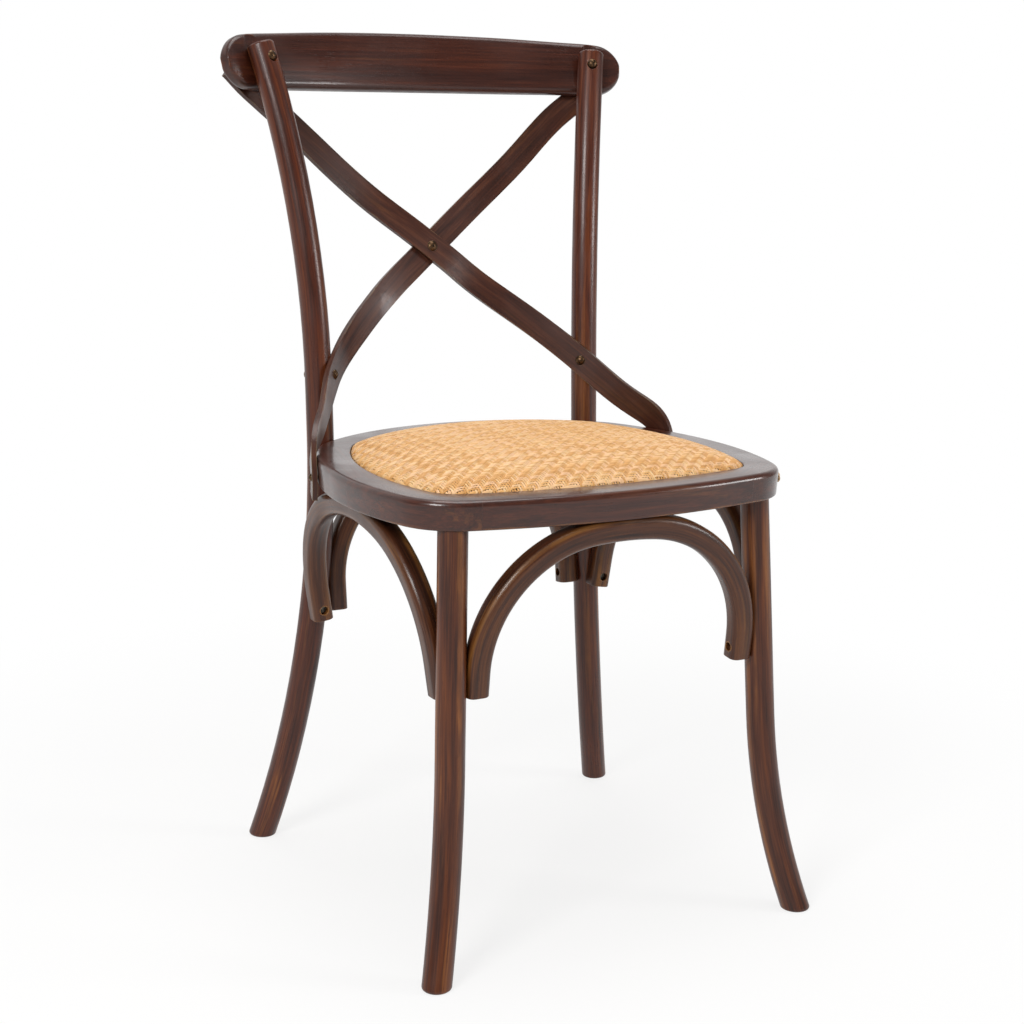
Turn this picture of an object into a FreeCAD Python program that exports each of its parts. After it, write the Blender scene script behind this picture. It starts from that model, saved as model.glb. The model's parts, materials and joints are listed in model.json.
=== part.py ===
import FreeCAD, Part
import math
import os

# Cross back dining chair in bent hardwood with a woven cane seat.
# Units are millimetres. +Z is up, the front of the chair faces -Y, X runs left to right.
# The layout is drawn about the seat and moved at the end so the box around the
# whole chair is centred in depth, with the soles of the legs on Z = 0.

os.makedirs("parts", exist_ok=True)

# Seat ring
SEAT_BOTTOM = 430.0        # underside of the ring above the floor
SEAT_THICK = 28.5          # height of the ring
RIM_WIDTH = 35.5           # visible width of the rim around the woven panel
LEDGE_WIDTH = 24.0         # ledge that carries the panel, inside the rim
LEDGE_THICK = 14.0         # thickness of that ledge
SEAT_FRONT_Y = -216.0      # front of the ring on the centre line
SEAT_REAR_Y = 193.0        # rear of the ring on the centre line
SEAT_HALF_WIDTH = 226.0    # half of the greatest width
SEAT_WIDEST_Y = -52.0      # where the greatest width lies
FRONT_ARC = 725.0          # outline radii
SIDE_ARC = 346.0
REAR_ARC = 262.0
FRONT_CORNER = 67.5
EDGE_ROUND = 6.0           # rounding of the upper outer edge
EDGE_SMALL = 1.6           # easing of the other ring edges
WALL_DRAFT = 1.3           # how far the outer wall draws in towards its lower edge
JOINT_FRONT_X = 151.0      # joints of the front rail
JOINT_RIGHT_X = 203.0      # a point of the joint between right corner and right rail
JOINT_RIGHT_Y = -153.0
JOINT_RIGHT_DIR = 145.0    # direction of that joint from the outside in
JOINT_LEFT_Y = -58.0       # joint between left corner and left rail
JOINT_REAR_TURN = 24.0     # joints of the rear rail, on the rear corner arc
DOWEL_DIA = 8.0
DOWEL_LONG = 20.0
DOWEL_INSET = 9.5          # first dowel, from the outline
DOWEL_PITCH = 11.5         # from the first to the second dowel

# Woven panel
BOARD_THICK = 9.0
PANEL_GAP = 0.5            # gap between rim and panel
CROWN = 18.5               # rise of the woven panel above the rim
COVER_THICK = 2.5
COVER_PLAY = 0.6           # the weave starts this far inside the board's edge
SOFT_GAP = 0.3             # clearance round the soft pieces
PANEL_MID_Y = -15.0        # the crown is highest here
# share of the panel outline and share of the rise, from the edge inwards
PANEL_SHAPE = [(1.0, 0.0), (0.985, 0.17), (0.94, 0.36), (0.86, 0.56), (0.74, 0.74), (0.58, 0.88),
               (0.38, 0.965), (0.15, 1.0)]

# Legs
LEG_DIA = 29.0
SOLE_ROUND = 3.0
TOP_ROUND = 2.5
TENON_DIA = 20.0
TENON_LONG = 18.0
LEG_TOP_X = 169.6
LEG_TOP_Y = -176.1
LEG_LEAN_X = 0.037         # outward drift per millimetre going down
LEG_LEAN_Y = 0.0725        # forward drift per millimetre going down
LEG_BEND_Z = 206.0         # the lower bend starts here
LEG_BEND_R = 709.0
LEG_BEND_DIR = 45.0        # direction of the bend, from +X towards the front

# Back posts, one planar bend above and one below a straight middle
POST_X = 163.7
POST_Y = 157.2
POST_Z = 490.0
POST_LEAN_X = 0.005
POST_LEAN_Y = 0.06
POST_BEND_DIR = 51.5       # direction of both bends, from +X towards the rear
POST_UPPER_Z = 513.0
POST_LOWER_Z = 465.0
POST_UPPER_R = 1150.0
POST_LOWER_R = 1210.0
POST_TOP_Z = 868.0
HOUSING = 1.3              # depth of the shallow seats cut where round posts bear

# Hoops under the seat
HOOP_DEEP = 24.0           # section in the plane of the hoop
HOOP_WIDE = 22.0           # section across it
HOOP_CORNER = 7.5
HOOP_FLAT = 2.3            # depth of the flat that bears on the ring
FRONT_HOOP_HALF = 149.3    # centre line of the limbs
FRONT_HOOP_APEX_ARC = 320.0
FRONT_HOOP_SHOULDER = 128.0
FRONT_HOOP_END = 268.6
FRONT_HOOP_FOOT_Y = -186.3 # the hoops lean outwards to the middle of the rim
FRONT_HOOP_TOP_Y = -204.0
SIDE_HOOP_APEX_ARC = 206.0
SIDE_HOOP_SHOULDER = 122.0
SIDE_HOOP_END = 264.5
SIDE_HOOP_FOOT_X = 172.8
SIDE_HOOP_TOP_X = 198.3
REAR_HOOP_END = 266.0
REAR_HOOP_TOP_Y = 176.0
HOOP_SCREW_UP = 12.0       # height of the leg screws above the limb ends
HOOP_SCREW_SIDE = 14.0     # seat screws either side of the apex

# Crest rail
CREST_HIGH = 62.5
CREST_THICK = 19.0
CREST_TOP_Z = 884.0
CREST_ARC = 550.0          # plan radius of the front face at mid height
CREST_HALF_WIDTH = 241.0
CREST_LEAN = 17.0          # backward lean in degrees
CREST_ARCH = 9.0           # fall of the upper edge from the middle to the ends
CREST_EDGE = 5.0           # rounding of the rail edges
CREST_END_ARC = 30.0       # rounding of the ends seen from the front

# Cross straps
STRAP_WIDE = 28.5
STRAP_THICK = 5.5
STRAP_STEP = 18.0          # spacing of the sections that shape a strap
CROSS_Y = 226.3            # where the straps cross
CROSS_Z = 652.2
STRAP_BOLT_Z = 526.0       # where the straps pass the posts
STRAP_END_Y = 58.0         # where the straps end on the ring wall
STRAP_END_Z = 417.0

# Fastenings
HEAD_GAP = 0.12            # clearance under the heads that sit on straps
CONTACT = 0.15             # clearance where straps bear on their neighbours
CREST_GAP = 0.8            # play between the straps and the rear of the crest rail
SPOT_DEEP = 1.1            # depth of the flat seats under heads on round wood
SEAT_BOLT_Z = 442.0
CREST_BOLT_Z = 856.2
CREST_BOLT_TURN = 0.0      # swing of the crest bolts from the rail's own square, in radians
END_SCREW_Z = 437.0
FIT_GAP = 0.1              # all round clearance of shanks, dowels and tenons
RIVET_HEAD = 12.0
RIVET_SHANK = 5.0
BOLT_HEAD = 11.0
BOLT_SHANK = 6.0
HEAD_HIGH = 3.0
SCREW_HEAD = 8.0
SCREW_SHANK = 4.0
SCREW_BORE = 9.0
SCREW_SINK = 8.0           # depth of the bores that take the screw heads
SCREW_HEAD_HIGH = 2.5
LEG_SCREW_LONG = 26.0
SEAT_SCREW_LONG = 23.5
PANEL_SCREW_SHANK = 3.5

ORIGIN = FreeCAD.Vector(0, 0, 0)
AXIS_X = FreeCAD.Vector(1, 0, 0)
AXIS_Z = FreeCAD.Vector(0, 0, 1)
SEAT_TOP = SEAT_BOTTOM + SEAT_THICK
LEDGE_TOP = SEAT_BOTTOM + LEDGE_THICK
BOARD_TOP = LEDGE_TOP + BOARD_THICK
LEG_R = LEG_DIA / 2.0


def vec(x, y, z):
    return FreeCAD.Vector(x, y, z)


def unit(v):
    out = FreeCAD.Vector(v)
    out.normalize()
    return out


def mirrored(shape):
    return shape.mirror(ORIGIN, AXIS_X)


def join(pieces):
    if len(pieces) == 1:
        return pieces[0]
    return pieces[0].fuse(pieces[1:]).removeSplitter()


def as_solid(shape):
    solids = shape.Solids
    if len(solids) == 1:
        return solids[0]
    return max(solids, key=lambda s: s.Volume)


def group(shapes):
    return Part.makeCompound([s for s in shapes])


def sweep(section, start, heading, normal, moves):
    """Carries a planar face along straight and curved moves and joins the result.

    A move is a length, or a pair of radius and angle in degrees; a positive angle
    turns the heading counter-clockwise about the normal.
    """
    face = section.copy()
    place = FreeCAD.Vector(start)
    ahead = unit(heading)
    pieces = []
    for move in moves:
        if isinstance(move, tuple):
            radius, angle = move
            turn = 1.0 if angle > 0 else -1.0
            side = unit(normal.cross(ahead)) * turn
            centre = place + side * radius
            axis = normal * turn
            pieces.append(face.revolve(centre, axis, abs(angle)))
            face.rotate(centre, axis, abs(angle))
            spin = FreeCAD.Rotation(axis, abs(angle))
            place = centre + spin.multVec(place - centre)
            ahead = spin.multVec(ahead)
        else:
            step = ahead * move
            pieces.append(face.extrude(step))
            face.translate(step)
            place = place + step
    return join(pieces), place, ahead


def round_face(radius, place, heading):
    """Disc square to heading, its seam turned outwards and forwards, clear of all bores."""
    edge = Part.makeCircle(radius, place, heading)
    now = edge.Vertexes[0].Point - place
    seam = vec(0.9, -0.43, 0.0)
    seam = seam - heading * seam.dot(heading)
    turn = math.degrees(now.getAngle(seam))
    if now.cross(seam).dot(heading) < 0:
        turn = -turn
    edge.rotate(place, heading, turn)
    return Part.Face(Part.Wire(edge))


def block_face(place, u, v, wide, deep, corner):
    """Rounded rectangle, wide along u and deep along v."""
    hw = wide / 2.0
    hd = deep / 2.0
    edges = []
    signs = [(1, -1), (1, 1), (-1, 1), (-1, -1)]
    k = corner * (1.0 - math.sqrt(0.5))
    ends = []
    for sx, sy in signs:
        near_u = place + u * (sx * hw) + v * (sy * (hd - corner))
        near_v = place + u * (sx * (hw - corner)) + v * (sy * hd)
        mid = place + u * (sx * (hw - k)) + v * (sy * (hd - k))
        if sx * sy < 0:
            ends.append((near_v, mid, near_u))
        else:
            ends.append((near_u, mid, near_v))
    for i in range(4):
        a, m, b = ends[i]
        edges.append(Part.Arc(a, m, b).toShape())
        edges.append(Part.makeLine(b, ends[(i + 1) % 4][0]))
    return Part.Face(Part.Wire(edges))


def cylinder(radius, start, end):
    axis = end - start
    return Part.makeCylinder(radius, axis.Length, start, unit(axis))


def dome(radius, height, base, axis):
    """Low domed head, flat side on base."""
    ball = (radius * radius + height * height) / (2.0 * height)
    centre = base + axis * (height - ball)
    cap = Part.makeSphere(ball, centre)
    return cap.common(Part.makeCylinder(radius * 1.5, ball * 2.0, base, axis))


def stud(head_r, shank_r, start, end):
    """Through fastener with a domed head at each end; start and end are the seats."""
    axis = unit(end - start)
    shank = cylinder(shank_r, start - axis * 0.2, end + axis * 0.2)
    return join([shank, dome(head_r, HEAD_HIGH, start, axis * -1.0), dome(head_r, HEAD_HIGH, end, axis)])


def screw(start, axis, length, head_r, shank_r):
    """Screw with a low round head; start is the outer face of the head."""
    head = Part.makeCylinder(head_r, SCREW_HEAD_HIGH, start, axis)
    shank = Part.makeCylinder(shank_r, length, start, axis)
    tip = Part.makeCone(shank_r, 0.6, 3.0, start + axis * length, axis)
    return join([head, shank, tip])


def screw_hole(start, axis, length, shank_r):
    shank = Part.makeCylinder(shank_r + FIT_GAP, length, start, axis)
    tip = Part.makeCone(shank_r + FIT_GAP, 0.6 + FIT_GAP, 3.0 + FIT_GAP, start + axis * length, axis)
    return join([shank, tip])


# Centre lines of the posts
def post_path():
    """Start points and headings of the upper and lower part of the right post."""
    heading = unit(vec(POST_LEAN_X, POST_LEAN_Y, 1.0))
    w = math.radians(POST_BEND_DIR)
    out = vec(math.cos(w), math.sin(w), 0.0)
    normal = unit(heading.cross(out))
    base = vec(POST_X, POST_Y, POST_Z)
    up = base + heading * ((POST_UPPER_Z - POST_Z) / heading.z)
    down = base + heading * ((POST_LOWER_Z - POST_Z) / heading.z)
    return heading, normal, up, down


def post_centre(z):
    """Centre line point of the right post at height z and its heading there."""
    heading, normal, up, down = post_path()
    if z > up.z:
        start, ahead, radius, sign = up, heading, POST_UPPER_R, 1.0
    elif z < down.z:
        start, ahead, radius, sign = down, heading * -1.0, POST_LOWER_R, -1.0
    else:
        return start_between(heading, down, z), heading
    side = unit(normal.cross(ahead)) * sign
    low, high = 0.0, 40.0
    for _ in range(60):
        mid = (low + high) / 2.0
        w = math.radians(mid)
        p = start + ahead * (radius * math.sin(w)) + side * (radius * (1.0 - math.cos(w)))
        if (p.z - z) * (1.0 if z > up.z else -1.0) > 0:
            high = mid
        else:
            low = mid
    w = math.radians(low)
    place = start + ahead * (radius * math.sin(w)) + side * (radius * (1.0 - math.cos(w)))
    along = ahead * math.cos(w) + side * math.sin(w)
    if along.z < 0:
        along = along * -1.0
    return place, along


def start_between(heading, down, z):
    return down + heading * ((z - down.z) / heading.z)


# Seat outline
def meet(c1, r1, c2, r2, pick):
    dx = c2[0] - c1[0]
    dy = c2[1] - c1[1]
    d = math.hypot(dx, dy)
    a = (r1 * r1 - r2 * r2 + d * d) / (2.0 * d)
    h = math.sqrt(r1 * r1 - a * a)
    mx = c1[0] + dx * a / d
    my = c1[1] + dy * a / d
    first = (mx - dy * h / d, my + dx * h / d)
    second = (mx + dy * h / d, my - dx * h / d)
    return max([first, second], key=pick)


FRONT_C = (0.0, SEAT_FRONT_Y + FRONT_ARC)
REAR_C = (0.0, SEAT_REAR_Y - REAR_ARC)
SIDE_C = (SEAT_HALF_WIDTH - SIDE_ARC, SEAT_WIDEST_Y)
CORNER_C = meet(FRONT_C, FRONT_ARC - FRONT_CORNER, SIDE_C, SIDE_ARC - FRONT_CORNER, lambda p: -p[1])


def back_corner(radius):
    return meet(REAR_C, REAR_ARC - radius, SIDE_C, SIDE_ARC - radius, lambda p: p[1])


def rear_corner_radius():
    """Radius at which the ring reaches into the posts by the depth of their housing."""
    seat_post, _ = post_centre((SEAT_BOTTOM + SEAT_TOP) / 2.0)
    low, high = 70.0, 220.0
    for _ in range(60):
        mid = (low + high) / 2.0
        c = back_corner(mid)
        if math.hypot(seat_post.x - c[0], seat_post.y - c[1]) - mid > LEG_R - HOUSING:
            high = mid
        else:
            low = mid
    return (low + high) / 2.0


REAR_CORNER = rear_corner_radius()
BACK_C = back_corner(REAR_CORNER)


def angle_of(c, p):
    return math.degrees(math.atan2(p[1] - c[1], p[0] - c[0]))


# Right half of the outline, counter-clockwise from the front centre
TURN_1 = angle_of(FRONT_C, CORNER_C)
TURN_2 = angle_of(SIDE_C, CORNER_C)
TURN_3 = angle_of(SIDE_C, BACK_C)
TURN_4 = angle_of(REAR_C, BACK_C)
ARCS = [(FRONT_C, FRONT_ARC, -90.0, TURN_1), (CORNER_C, FRONT_CORNER, TURN_1, TURN_2),
        (SIDE_C, SIDE_ARC, TURN_2, TURN_3), (BACK_C, REAR_CORNER, TURN_3, TURN_4),
        (REAR_C, REAR_ARC, TURN_4, 90.0)]


def outline_wire(inset, z):
    edges = []
    for side in (1, -1):
        for c, r, a, b in ARCS:
            pts = []
            for t in (a, (a + b) / 2.0, b):
                w = math.radians(t)
                pts.append(vec(side * (c[0] + (r - inset) * math.cos(w)), c[1] + (r - inset) * math.sin(w), z))
            edges.append(Part.Arc(pts[0], pts[1], pts[2]).toShape())
    return Part.Wire(Part.__sortEdges__(edges))


def outline_point(arc, angle, inset):
    c, r, a, b = arc
    w = math.radians(angle)
    return (c[0] + (r - inset) * math.cos(w), c[1] + (r - inset) * math.sin(w))


def ring_profile(c, r, angle):
    """Section of the ring in the vertical plane through an outline arc centre."""
    w = math.radians(angle)

    def at(inset, z):
        return vec(c[0] + (r - inset) * math.cos(w), c[1] + (r - inset) * math.sin(w), z)

    e = EDGE_SMALL
    k = e * (1.0 - math.sqrt(0.5))
    kk = EDGE_ROUND * (1.0 - math.sqrt(0.5))
    inner = RIM_WIDTH + LEDGE_WIDTH
    low = SEAT_BOTTOM
    top = SEAT_TOP
    d = WALL_DRAFT
    edges = [
        Part.makeLine(at(d, low + e), at(0.0, top - EDGE_ROUND)),
        Part.Arc(at(0.0, top - EDGE_ROUND), at(kk, top - kk), at(EDGE_ROUND, top)).toShape(),
        Part.makeLine(at(EDGE_ROUND, top), at(RIM_WIDTH - e, top)),
        Part.Arc(at(RIM_WIDTH - e, top), at(RIM_WIDTH - k, top - k), at(RIM_WIDTH, top - e)).toShape(),
        Part.makeLine(at(RIM_WIDTH, top - e), at(RIM_WIDTH, LEDGE_TOP)),
        Part.makeLine(at(RIM_WIDTH, LEDGE_TOP), at(inner, LEDGE_TOP)),
        Part.makeLine(at(inner, LEDGE_TOP), at(inner, low)),
        Part.makeLine(at(inner, low), at(d + e, low)),
        Part.Arc(at(d + e, low), at(d + k, low + k), at(d, low + e)).toShape(),
    ]
    return Part.Face(Part.Wire(edges))


def full_ring():
    pieces = []
    for c, r, a, b in ARCS:
        pieces.append(ring_profile(c, r, a).revolve(vec(c[0], c[1], 0), AXIS_Z, b - a))
    right = join(pieces)
    return join([right, mirrored(right)])


# Legs and posts
def bend_angle(start, ahead, normal, radius, turn, z_goal):
    """Angle of an arc that ends at height z_goal."""
    side = unit(normal.cross(ahead)) * turn
    low, high = 0.0, 60.0
    for _ in range(60):
        mid = (low + high) / 2.0
        w = math.radians(mid)
        p = start + ahead * (radius * math.sin(w)) + side * (radius * (1.0 - math.cos(w)))
        passed = p.z > z_goal if ahead.z > 0 else p.z < z_goal
        if passed:
            high = mid
        else:
            low = mid
    return low


def post_body(radius, extra):
    heading, normal, up, down = post_path()
    top_angle = bend_angle(up, heading, normal, POST_UPPER_R, 1.0, POST_TOP_Z)
    over = math.degrees(extra / POST_UPPER_R)
    low_angle = bend_angle(down, heading * -1.0, normal, POST_LOWER_R, -1.0, -12.0)
    middle = (up - down).Length
    disc = round_face(radius, up, heading)
    upper, _, _ = sweep(disc, up, heading, normal, [(POST_UPPER_R, top_angle + over)])
    lower, _, _ = sweep(round_face(radius, up, heading), up, heading * -1.0, normal,
                        [middle, (POST_LOWER_R, -low_angle)])
    return join([upper, lower])


def leg_path():
    heading = unit(vec(LEG_LEAN_X, -LEG_LEAN_Y, -1.0))
    top = vec(LEG_TOP_X, LEG_TOP_Y, SEAT_BOTTOM)
    w = math.radians(-LEG_BEND_DIR)
    out = vec(math.cos(w), math.sin(w), 0.0)
    normal = unit(heading.cross(out))
    return top, heading, normal


def leg_centre(z):
    top, heading, _ = leg_path()
    return top + heading * ((z - top.z) / heading.z)


def leg_body(radius, extra):
    top, heading, normal = leg_path()
    start = top - heading * extra
    bend = top + heading * ((LEG_BEND_Z - top.z) / heading.z)
    low_angle = bend_angle(bend, heading, normal, LEG_BEND_R, 1.0, -12.0)
    body, _, _ = sweep(round_face(radius, start, heading), start, heading, normal,
                       [(bend - start).Length, (LEG_BEND_R, low_angle)])
    return body


FLOOR_CUT = Part.makeBox(1200, 1200, 60, vec(-600, -600, -60))


def rounded_sole(body):
    cut = as_solid(body.cut(FLOOR_CUT))
    rims = [e for e in cut.Edges if e.BoundBox.ZMax < 0.01]
    return cut.makeFillet(SOLE_ROUND, rims)


def front_leg():
    top, heading, _ = leg_path()
    body = leg_body(LEG_R, 10.0)
    above = Part.makeBox(400, 400, 100, vec(LEG_TOP_X - 200, LEG_TOP_Y - 200, SEAT_BOTTOM))
    body = as_solid(body.cut(above))
    body = rounded_sole(body)
    tenon = cylinder(TENON_DIA / 2.0, top + heading * 6.0, top - heading * TENON_LONG)
    return join([body, tenon])


def back_post():
    body = post_body(LEG_R, 0.0)
    top, along = post_centre(POST_TOP_Z)
    rims = []
    for e in body.Edges:
        if e.BoundBox.ZMin > POST_TOP_Z - LEG_R and (e.CenterOfMass - top).Length < 1.0:
            rims.append(e)
    body = body.makeFillet(TOP_ROUND, rims)
    return rounded_sole(body)


# Hoops
def hoop(half, end_z, foot, top_out, place_at, apex_arc, shoulder):
    """Hoop in a leaning plane.

    foot and top_out are the offsets of the plane at the limb ends and at the ring,
    place_at maps (along, offset, z) to a point.
    """
    apex = SEAT_BOTTOM - HOOP_DEEP / 2.0 + HOOP_FLAT
    slope = (top_out - foot) / (SEAT_BOTTOM - end_z)
    stretch = math.sqrt(1.0 + slope * slope)
    origin = place_at(0.0, foot, end_z)
    rise = unit(place_at(0.0, foot + slope, end_z + 1.0) - origin)
    along = unit(place_at(1.0, foot, end_z) - origin)
    normal = unit(along.cross(rise))
    apex_rise = (apex - end_z) * stretch
    reach = apex_arc - shoulder
    shift = half - shoulder
    drop = math.sqrt(reach * reach - shift * shift)
    limb = apex_rise - apex_arc + drop
    swing = math.degrees(math.asin(drop / reach))
    start = origin + along * half
    face = block_face(start, along, normal, HOOP_DEEP, HOOP_WIDE, HOOP_CORNER)
    body, _, _ = sweep(face, start, rise, normal,
                       [limb, (shoulder, swing), (apex_arc, 180.0 - 2.0 * swing), (shoulder, swing), limb])
    body = as_solid(body.cut(Part.makeBox(900, 900, 40, vec(-450, -450, SEAT_BOTTOM))))
    lows = [f for f in body.Faces if f.CenterOfMass.z < end_z + 3.0 and f.Surface.TypeId == "Part::GeomPlane"
            and abs(f.normalAt(0, 0).dot(rise)) > 0.999]
    rims = []
    for f in lows:
        rims.extend(f.Edges)
    body = body.makeFillet(1.2, rims)
    return body, rise, along, normal, origin, slope


def bored(body, cuts):
    out = body
    for c in cuts:
        out = out.cut(c)
    return as_solid(out)


# Build
ring = full_ring()
leg = front_leg()
post = back_post()
leg_grown = leg_body(LEG_R + FIT_GAP, 0.0)
post_grown = post_body(LEG_R + FIT_GAP, 30.0)
legs_grown = [leg_grown, mirrored(leg_grown)]
posts_grown = [post_grown, mirrored(post_grown)]

# Fastening positions shared by the pieces they join
leg_screws = []
leg_screw_holes = []
seat_screws = []
seat_screw_holes = []


def fit_hoop(half, end_z, foot, top_out, place_at, arcs, posts):
    body, rise, along, normal, origin, slope = hoop(half, end_z, foot, top_out, place_at, arcs[0], arcs[1])
    body = bored(body, posts)
    for side in (1.0, -1.0):
        inner = origin + rise * HOOP_SCREW_UP + along * (side * (half - HOOP_DEEP / 2.0))
        axis = along * side
        seat = inner + axis * (SCREW_SINK - SCREW_HEAD_HIGH)
        body = bored(body, [Part.makeCylinder(SCREW_BORE / 2.0, SCREW_SINK + 1.0, inner - axis, axis),
                            Part.makeCylinder(SCREW_SHANK / 2.0 + FIT_GAP, 40.0, inner, axis)])
        leg_screws.append(screw(seat, axis, LEG_SCREW_LONG, SCREW_HEAD / 2.0, SCREW_SHANK / 2.0))
        leg_screw_holes.append(screw_hole(seat, axis, LEG_SCREW_LONG, SCREW_SHANK / 2.0))
        under = place_at(side * HOOP_SCREW_SIDE, top_out - slope * HOOP_DEEP, SEAT_BOTTOM - HOOP_DEEP)
        seat = under + AXIS_Z * (SCREW_SINK - SCREW_HEAD_HIGH)
        body = bored(body, [Part.makeCylinder(SCREW_BORE / 2.0, SCREW_SINK + 2.0, under - AXIS_Z * 2.0, AXIS_Z),
                            Part.makeCylinder(SCREW_SHANK / 2.0 + FIT_GAP, 40.0, under, AXIS_Z)])
        seat_screws.append(screw(seat, AXIS_Z, SEAT_SCREW_LONG, SCREW_HEAD / 2.0, SCREW_SHANK / 2.0))
        seat_screw_holes.append(screw_hole(seat, AXIS_Z, SEAT_SCREW_LONG, SCREW_SHANK / 2.0))
    return body


front_hoop = fit_hoop(FRONT_HOOP_HALF, FRONT_HOOP_END, FRONT_HOOP_FOOT_Y, FRONT_HOOP_TOP_Y,
                      lambda a, o, z: vec(a, o, z), (FRONT_HOOP_APEX_ARC, FRONT_HOOP_SHOULDER), legs_grown)

rear_mid, rear_dir = post_centre(REAR_HOOP_END + 12.0)
REAR_HOOP_FOOT_Y = rear_mid.y - 1.0
REAR_HOOP_HALF = rear_mid.x - LEG_R + HOUSING - HOOP_DEEP / 2.0
rear_hoop = fit_hoop(REAR_HOOP_HALF, REAR_HOOP_END, REAR_HOOP_FOOT_Y, REAR_HOOP_TOP_Y,
                     lambda a, o, z: vec(a, o, z), (SIDE_HOOP_APEX_ARC, SIDE_HOOP_SHOULDER), posts_grown)

side_front = leg_centre(SIDE_HOOP_END + 12.0)
side_rear, _ = post_centre(SIDE_HOOP_END + 12.0)
SIDE_HOOP_MID_Y = (side_front.y + side_rear.y) / 2.0
SIDE_HOOP_HALF = (side_rear.y - side_front.y) / 2.0 - LEG_R + HOUSING - HOOP_DEEP / 2.0
right_hoop = fit_hoop(SIDE_HOOP_HALF, SIDE_HOOP_END, SIDE_HOOP_FOOT_X, SIDE_HOOP_TOP_X,
                      lambda a, o, z: vec(o, SIDE_HOOP_MID_Y + a, z), (SIDE_HOOP_APEX_ARC, SIDE_HOOP_SHOULDER),
                      [leg_grown, post_grown])
left_hoop = mirrored(right_hoop)
for shape in list(leg_screws[-2:]):
    leg_screws.append(mirrored(shape))
for shape in list(leg_screw_holes[-2:]):
    leg_screw_holes.append(mirrored(shape))
for shape in list(seat_screws[-2:]):
    seat_screws.append(mirrored(shape))
for shape in list(seat_screw_holes[-2:]):
    seat_screw_holes.append(mirrored(shape))

# Crest rail, a leaning rounded board swept about a vertical axis
crest_mid_z = CREST_TOP_Z - CREST_HIGH / 2.0
crest_post, crest_along = post_centre(crest_mid_z)
crest_turn = math.radians(64.0)
for _ in range(20):
    crest_n = vec(math.cos(crest_turn), math.sin(crest_turn), 0.0)
    crest_touch = crest_post + crest_n * (LEG_R - HOUSING)
    crest_turn = math.acos(crest_touch.x / CREST_ARC)
CREST_CENTRE_Y = crest_touch.y - CREST_ARC * math.sin(crest_turn)


def crest_wire(along, shrink, slim):
    """Leaning section at arc length along from the middle; flat rear, crowned front.

    shrink and slim scale height and thickness towards the rounded ends.
    """
    w = along / (CREST_ARC + CREST_THICK / 2.0)
    radial = vec(math.sin(w), math.cos(w), 0.0)
    lean = math.radians(CREST_LEAN)
    up = AXIS_Z * math.cos(lean) + radial * math.sin(lean)
    out = radial * math.cos(lean) - AXIS_Z * math.sin(lean)
    mid = vec(0, CREST_CENTRE_Y, crest_mid_z) + radial * (CREST_ARC + CREST_THICK / 2.0)
    half = CREST_HIGH / 2.0 / math.cos(lean)
    arch = CREST_ARCH * (along / CREST_HALF_WIDTH) ** 2
    high = (half - arch) * shrink - 0.5 * arch * (1.0 - shrink)
    low = -half * shrink - 0.5 * arch * (1.0 - shrink)
    side = CREST_THICK / 2.0 * slim
    e = CREST_EDGE * slim * min(1.0, shrink * 1.6)
    pts = {}
    for name, u, o in (("a", high - e * 1.5, -side + 1.5 * slim), ("b", high, -side * 0.30),
                       ("c", high, side * 0.35), ("d", high - e, side), ("e", low + e, side), ("f", low, side * 0.35),
                       ("g", low, -side * 0.30), ("h", low + e * 1.5, -side + 1.5 * slim),
                       ("m", (high + low) / 2.0, -side)):
        pts[name] = mid + up * u + out * o

    def bow(p, q, amount, toward):
        middle = (pts[p] + pts[q]) * 0.5 + unit(toward) * amount * slim
        return Part.Arc(pts[p], middle, pts[q]).toShape()

    edges = [
        bow("a", "b", 1.6, up - out), Part.makeLine(pts["b"], pts["c"]),
        bow("c", "d", 1.4, up + out), Part.makeLine(pts["d"], pts["e"]),
        bow("e", "f", 1.4, up * -1.0 + out), Part.makeLine(pts["f"], pts["g"]),
        bow("g", "h", 1.6, up * -1.0 - out), Part.Arc(pts["h"], pts["m"], pts["a"]).toShape(),
    ]
    return Part.Wire(edges)


def crest_rail():
    reach = (CREST_ARC + CREST_THICK) * math.asin(CREST_HALF_WIDTH / (CREST_ARC + CREST_THICK))
    half = []
    for back in (0.8, 3.0, 7.5, 14.0, 22.0, 31.0):
        share = min(1.0, back / CREST_END_ARC)
        half.append((reach - back, math.sqrt(1.0 - (1.0 - share) ** 2), 0.55 + 0.45 * math.sqrt(share)))
    for share in (0.75, 0.5, 0.25):
        half.append((reach * share, 1.0, 1.0))
    rows = half + [(0.0, 1.0, 1.0)] + [(-a, b, c) for a, b, c in reversed(half)]
    return Part.makeLoft([crest_wire(a, b, c) for a, b, c in rows], True, False)


crest = crest_rail()

# Straps: a flat strip through named stations, first the right hand lower end
bolt_post, bolt_along = post_centre(STRAP_BOLT_Z)
strap_aim = unit(vec(-0.67, -0.74, 0.0))
strap_aim = unit(strap_aim - bolt_along * strap_aim.dot(bolt_along))
cross_aim = unit(vec(0.0, -1.0, 0.31))
ring_angle = math.asin((STRAP_END_Y - SIDE_C[1]) / SIDE_ARC)
strap_wall = vec(math.cos(ring_angle), math.sin(ring_angle), 0.0)
strap_foot = vec(SIDE_C[0], SIDE_C[1], STRAP_END_Z) + strap_wall * (SIDE_ARC + STRAP_THICK / 2.0 + CONTACT)
crest_tilt = math.radians(CREST_LEAN)


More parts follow.
